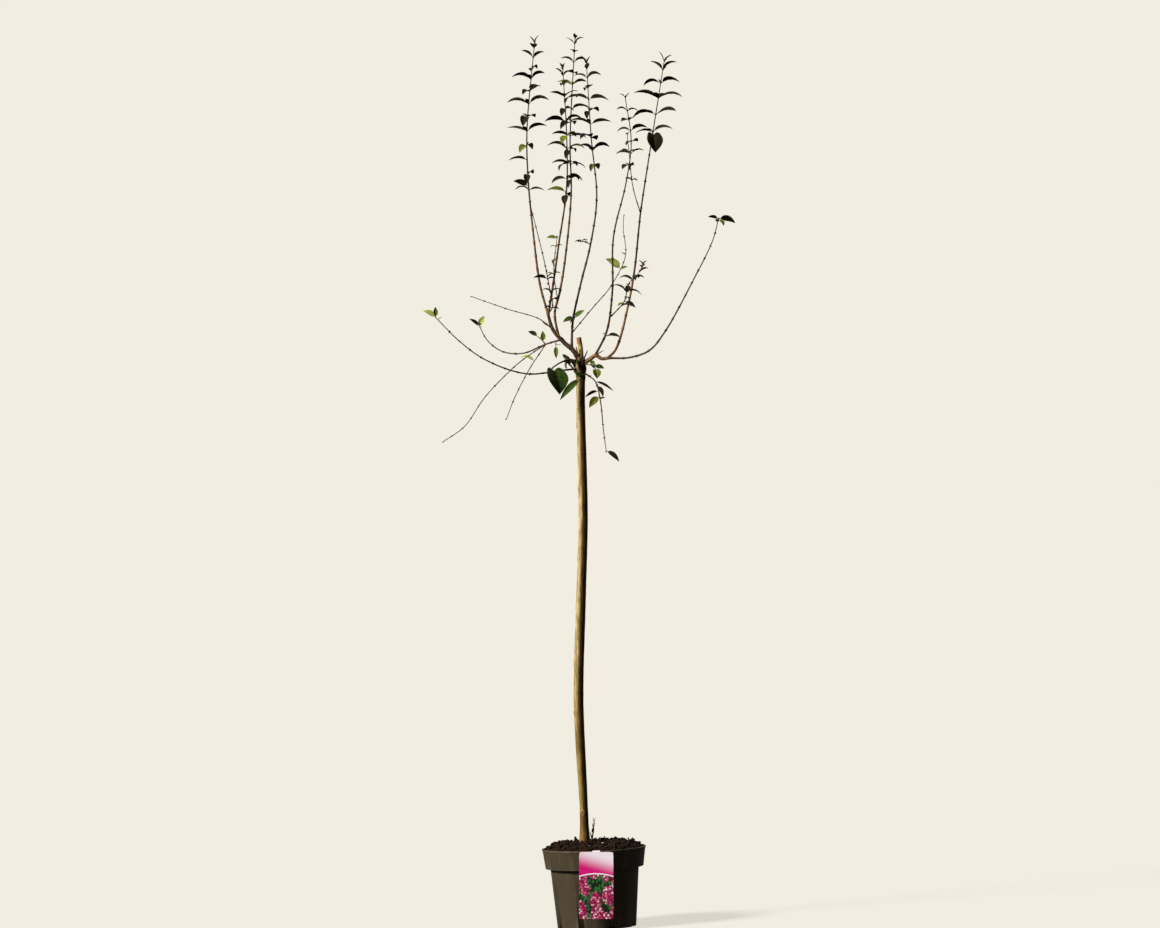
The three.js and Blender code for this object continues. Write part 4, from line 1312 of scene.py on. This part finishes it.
def grow_leaf(tint, shoot, share, azimuth, length, rise, droop, roll=0, width=LEAF_WIDTH):
    """One leaf of a tint, in millimetres and degrees. A wide one is heart-shaped and less folded."""
    root = shoot.point(min(share, 1 - LEAF_SUNK / shoot.length))
    midrib = Midrib(root, azimuth, length * MM, rise, droop, roll)
    if width > HEART_WIDTH:
        bend = (HEART_FOLD, HEART_LOBE, *HEART_GRID)
    else:
        bend = (BLADE_FOLD * rng.uniform(*BLADE_FOLDS), BLADE_LOBE, *BLADE_GRID)
    join_shape(foliage[tint], leaf_blade(midrib, length * MM, width, *bend))
    join_shape(foliage[tint], leaf_stalk(midrib))


for name, shoot in SHOOTS.items():
    line = lines[name]
    for tint, *leaf in shoot.get("leaves", ()):
        grow_leaf(tint, line, *leaf)
    rule = shoot.get("top") or shoot.get("rule")
    if rule:
        for share, azimuth, length, *bend in paired_leaves(line.length / MM, **rule):
            height = crown_height(line.point(share))
            # Pairs near an olive height take the olive tint, painted lighter for light shining through the
            # leaves.
            near_olive = any(abs(height - olive) < OLIVE_REACH for olive in shoot.get("olive", ()))
            tint = "olive" if near_olive else shoot.get("tint", "shade")
            grow_leaf(tint, line, share, azimuth, length, *bend)
            add_bud(line, share, azimuth, LEAF_BUD)
            if rng.random() < SMALL_LEAF_CHANCE and length > SMALL_LEAF_BESIDE:
                beside = azimuth + rng.choice(SMALL_LEAF_TURNS)
                grow_leaf(tint, line, share, beside, length * SMALL_LEAF_SHARE, *SMALL_LEAF_BEND)
for share, azimuth, length in BASAL_LEAVES:
    grow_leaf("shade", basal_line, share, azimuth, length, *BASAL_LEAF_BEND)
add_piece("winter_buds", buds, [bud_scale], crease=50)

for tint, (dark, light, margin) in TINTS.items():
    leaf_skin, paint = new_material(tint + "_leaf")
    mottle = paint.grain(140, 4)
    rib = paint.mark("rib")
    stripe = paint.maths("PINGPONG", (paint.mark("vein") - rib * 0.28) * 7, 0.5)
    side_veins = (1 - stripe.rising(0.04, 0.16)) * (1 - rib.rising(0.75, 1.0)) * 0.6
    veins = paint.maths("MAXIMUM", 1 - rib.rising(0.03, 0.14), side_veins)
    paler = paint.maths("MAXIMUM", veins * 0.45, rib.rising(0.72, 1.0) * 0.5)
    finish_material(
        leaf_skin,
        Base_Color=paler.blend(mottle.rising(0.3, 0.7).blend(dark, light), margin),
        Roughness=0.55 + 0.2 * mottle,
        Normal=paint.bump(paint.grain(900, 3) * 0.4 - veins, 0.35 * MM),
        Specular_IOR_Level=0.1,
    )
    add_piece(tint + "_leaves", foliage[tint], [leaf_skin], crease=70)

# The hanging label
# A printed plastic card that hangs in front of the pot from a tongue hooked over the rim. Its face has a
# blush to magenta band over a field of pink lilac florets on green, with a white line between them.
LABEL_WIDTH = 62 * MM
LABEL_HEIGHT = 121 * MM
LABEL_THICKNESS = 0.8 * MM
LABEL_CENTRE = 4 * MM
LABEL_TILT = 2.3
LABEL_CORNER = 3 * MM
CORNER_STEPS = 3
LABEL_DROP = 1.5 * MM
LABEL_GAP = 0.3 * MM
LABEL_BOW = 0.9 * MM
LABEL_COLUMNS = 12
LABEL_ROWS = 24
TONGUE_WIDTH = 14 * MM
TONGUE_DROP = 28 * MM
TONGUE_INSET = 0.9 * MM
TONGUE_SLOPE = 3.9 * MM
BAND_FOOT = 38 * MM
BAND_SWAY = 5 * MM
BLUSH = (2 * MM, 36 * MM)
LINE_WIDTH = 2.2 * MM
LINE_EDGE = 0.2 * MM
FLORETS = 270
FLORET_TURNS = 40
PETAL_CUT = 0.13
# The tones that florets are picked from, each with its place in the ramp.
FLORET_TONES = [(0.0, "b3114c"), (0.3, "e5347c"), (0.6, "f585b3"), (0.9, "fff0f5")]

label_front = -(RIM_RADIUS + LABEL_GAP)
label_top = POT_HEIGHT - LABEL_DROP
printed_card, paint = new_material("printed_card")
hanging = {
    "Vector": paint.place(),
    "Location": (LABEL_CENTRE, label_front, label_top),
    "Rotation": (0, math.radians(LABEL_TILT), 0),
}
paint.start = paint.node("ShaderNodeMapping", {"vector_type": "TEXTURE"}, hanging)
across = paint.axis("X")
above_foot = paint.axis("Z") + BAND_FOOT
below_line = above_foot + across * across * (BAND_SWAY / LABEL_WIDTH**2 * 4)
band_tone = (above_foot + across * 0.3).rising(*BLUSH).blend("e0127a", "fff0f5")
centre = paint.cells(FLORETS, (1, 0, 1), "Position")
flat = paint.stretched((1, 0, 1))
aim = paint.node("ShaderNodeVectorMath", {"operation": "SUBTRACT"}, {0: flat, 1: centre})
floret_pick = paint.cells(FLORETS, (1, 0, 1), "Color")
floret_share = paint.node("ShaderNodeSeparateColor", {}, {"Color": floret_pick}, "Red")
petal_turn = paint.maths("ARCTAN2", aim.part("Z"), aim.part("X")) * 4 + floret_share * FLORET_TURNS
reach = paint.cells(FLORETS, (1, 0, 1)) - paint.maths("COSINE", petal_turn, 0) * PETAL_CUT
floret_tone = paint.node("ShaderNodeValToRGB", {}, {"Fac": floret_share})
ramp = floret_tone.socket.node.color_ramp.elements
ramp[0].position, ramp[1].position = FLORET_TONES[0][0], FLORET_TONES[-1][0]
for place, _ in FLORET_TONES[1:-1]:
    ramp.new(place)
for stop, (_, code) in zip(ramp, FLORET_TONES):
    stop.color = tone(code)
panicles = 1 - (paint.cells(44, (1.2, 0, 0.75)) + paint.grain(260, 2) * 0.3).rising(0.76, 0.84)
leafage = paint.cells(190, (1, 0, 0.7)).rising(0.2, 0.65).blend("3c7434", "0d2412")
blossom = panicles.blend(leafage, "8a1243")
blossom = ((1 - reach.rising(0.42, 0.5)) * panicles).blend(blossom, floret_tone)
blossom = ((1 - reach.rising(0.1, 0.16)) * panicles).blend(blossom, "f2cf5a")
face_print = below_line.rising(-LINE_WIDTH - LINE_EDGE, -LINE_WIDTH).blend(blossom, "fdf6f8")
face_print = below_line.rising(-LINE_EDGE, 0.0).blend(face_print, band_tone)
facing = paint.node("ShaderNodeNewGeometry", {}, {}, "Normal").part("Y")
finish_material(
    printed_card,
    Base_Color=facing.rising(-0.6, -0.4).blend(face_print, "f1eee9"),
    Roughness=0.3 + 0.1 * paint.grain(60, 3),
    Coat_Weight=0.2,
    Normal=paint.bump(paint.grain(300, 2), 0.05 * MM),
)


def card_bow(share):
    """How far the card bows out from the pot between its top and its foot."""
    return LABEL_BOW * math.sin(math.pi * share) ** 2


def nearest_inside(vert, reach):
    """The place in the card's middle field, of a half width and half height, that is nearest to a point."""
    return Vector([*(min(max(value, -limit), limit) for value, limit in zip(vert.co, reach)), 0])


card = bmesh.new()
bmesh.ops.create_grid(card, x_segments=LABEL_COLUMNS, y_segments=LABEL_ROWS, size=0.5)
flat_size = (LABEL_WIDTH - 2 * LABEL_CORNER, LABEL_HEIGHT - 2 * LABEL_CORNER, 1, 1)
field = (LABEL_WIDTH / 2 - LABEL_CORNER, LABEL_HEIGHT / 2 - LABEL_CORNER)
bmesh.ops.transform(card, matrix=Matrix.Diagonal(flat_size), verts=card.verts)
border = [edge for edge in card.edges if edge.is_boundary]
for step in range(CORNER_STEPS):
    border = picked(bmesh.ops.extrude_edge_only(card, edges=border), bmesh.types.BMEdge)
    for vert in {vert for edge in border for vert in edge.verts}:
        inner = nearest_inside(vert, field)
        outward = vert.co - inner
        if outward.length < 1e-6:
            at_side, at_end = (abs(abs(value) - limit) < 1e-6 for value, limit in zip(inner, field))
            outward = Vector((math.copysign(at_side, inner.x), math.copysign(at_end, inner.y), 0))
        vert.co = inner + outward.normalized() * LABEL_CORNER * (step + 1) / CORNER_STEPS
thicken(card, LABEL_THICKNESS)
for vert in card.verts:
    share = 0.5 - vert.co.y / LABEL_HEIGHT
    upright = Vector((vert.co.x, vert.co.z - card_bow(share), vert.co.y - LABEL_HEIGHT / 2))
    upright.rotate(Quaternion((0, 1, 0), math.radians(LABEL_TILT)))
    vert.co = upright + Vector((LABEL_CENTRE, label_front, label_top))
face_outwards(card)

tongue = bmesh.new()
hook = -(collar_inside(POT_HEIGHT) - TONGUE_INSET)
over_rim = POT_HEIGHT + LABEL_GAP
half_card = LABEL_THICKNESS * 0.5
tongue_way = [
    (label_front - half_card, over_rim - TONGUE_DROP),
    (label_front - half_card, over_rim),
    (label_front, over_rim + half_card),
    (hook, over_rim + half_card),
    (hook + half_card, over_rim),
    (hook + half_card + TONGUE_SLOPE, over_rim - TONGUE_DROP),
]
left = [tongue.verts.new((LABEL_CENTRE - TONGUE_WIDTH / 2, y, z)) for y, z in tongue_way]
spine = [tongue.edges.new(pair) for pair in zip(left, left[1:])]
right = picked(bmesh.ops.extrude_edge_only(tongue, edges=spine), bmesh.types.BMVert)
bmesh.ops.translate(tongue, vec=(TONGUE_WIDTH, 0, 0), verts=right)
thicken(tongue, LABEL_THICKNESS * 0.8)
join_shape(card, tongue)
add_piece("label_sheet", card, [printed_card], ["plant_label"], crease=30)

# The studio
# A wide pale floor that meets a plain backdrop of its own colour. A soft low key light comes from the left,
# a faint one from behind, and the camera stands level in front, rolled with the plant's lean.
FLOOR_REACH = 150
FLOOR_SUNK = 0.1 * MM
BACKDROP = tone("f2ede1")
FLOOR_GLOW = 0.72
FLOOR_MOTTLE = (0.995, 1.005)
AMBIENT = 0.075
# Each light: name, azimuth and height that it comes from, strength, and how wide it looks from the plant.
LIGHTS = [("key_light", 208, 32, 6.0, 14), ("back_light", 55, 38, 1.1, 40)]
CAMERA_PLACE = (0.0028, -9.0, 0.8456)
CAMERA_REACH = 500
VIEW_WIDTH = 2.12
SENSOR_WIDTH = 36

floor_light = AMBIENT
for name, azimuth, height, strength, softness in LIGHTS:
    lamp = bpy.data.lights.new(name, "SUN")
    lamp.energy = strength
    lamp.angle = math.radians(softness)
    light = add_object(name, lamp)
    light.rotation_euler = (math.radians(90 - height), 0, math.radians(azimuth - 270))
    floor_light += strength * math.sin(math.radians(height)) / math.pi

floor_paint, paint = new_material("floor_paint")
lit_share = (1 - FLOOR_GLOW) / floor_light
pale, paler = ((*[c * lit_share * shift for c in BACKDROP[:3]], 1) for shift in FLOOR_MOTTLE)
finish_material(
    floor_paint,
    Base_Color=paint.grain(3, 3).blend(pale, paler),
    Roughness=1.0,
    Specular_IOR_Level=0.0,
    Emission_Color=BACKDROP,
    Emission_Strength=FLOOR_GLOW,
)
floor_shape = bmesh.new()
bmesh.ops.create_grid(floor_shape, x_segments=1, y_segments=1, size=FLOOR_REACH)
floor = add_object("studio_floor", mesh_of("studio_floor", floor_shape))
floor.data.materials.append(floor_paint)
floor.location.z = -FLOOR_SUNK
floor.visible_diffuse = False
floor.visible_glossy = False
floor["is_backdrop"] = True

world = bpy.data.worlds.new("studio")
world.use_nodes = True
bpy.context.scene.world = world
sky = Shade(world.node_tree)
seen = sky.node("ShaderNodeLightPath", {}, {}, "Is Camera Ray")
backdrop = seen.blend((AMBIENT, AMBIENT, AMBIENT, 1), BACKDROP)
sky.feed(world.node_tree.nodes["Background"].inputs["Color"], backdrop)

camera_data = bpy.data.cameras.new("photo_camera")
camera_data.sensor_width = SENSOR_WIDTH
camera_data.lens = SENSOR_WIDTH * -CAMERA_PLACE[1] / VIEW_WIDTH
camera_data.clip_end = CAMERA_REACH
camera = add_object("photo_camera", camera_data)
camera.location = CAMERA_PLACE
camera.rotation_euler = (math.radians(90), math.radians(PLANT_LEAN), 0)
bpy.context.scene.camera = camera
bpy.context.scene.view_settings.view_transform = "Standard"

seen_low, seen_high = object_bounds()
sizes = {"cad": [list(cad_low), list(cad_high)], "visual": [list(seen_low), list(seen_high)]}
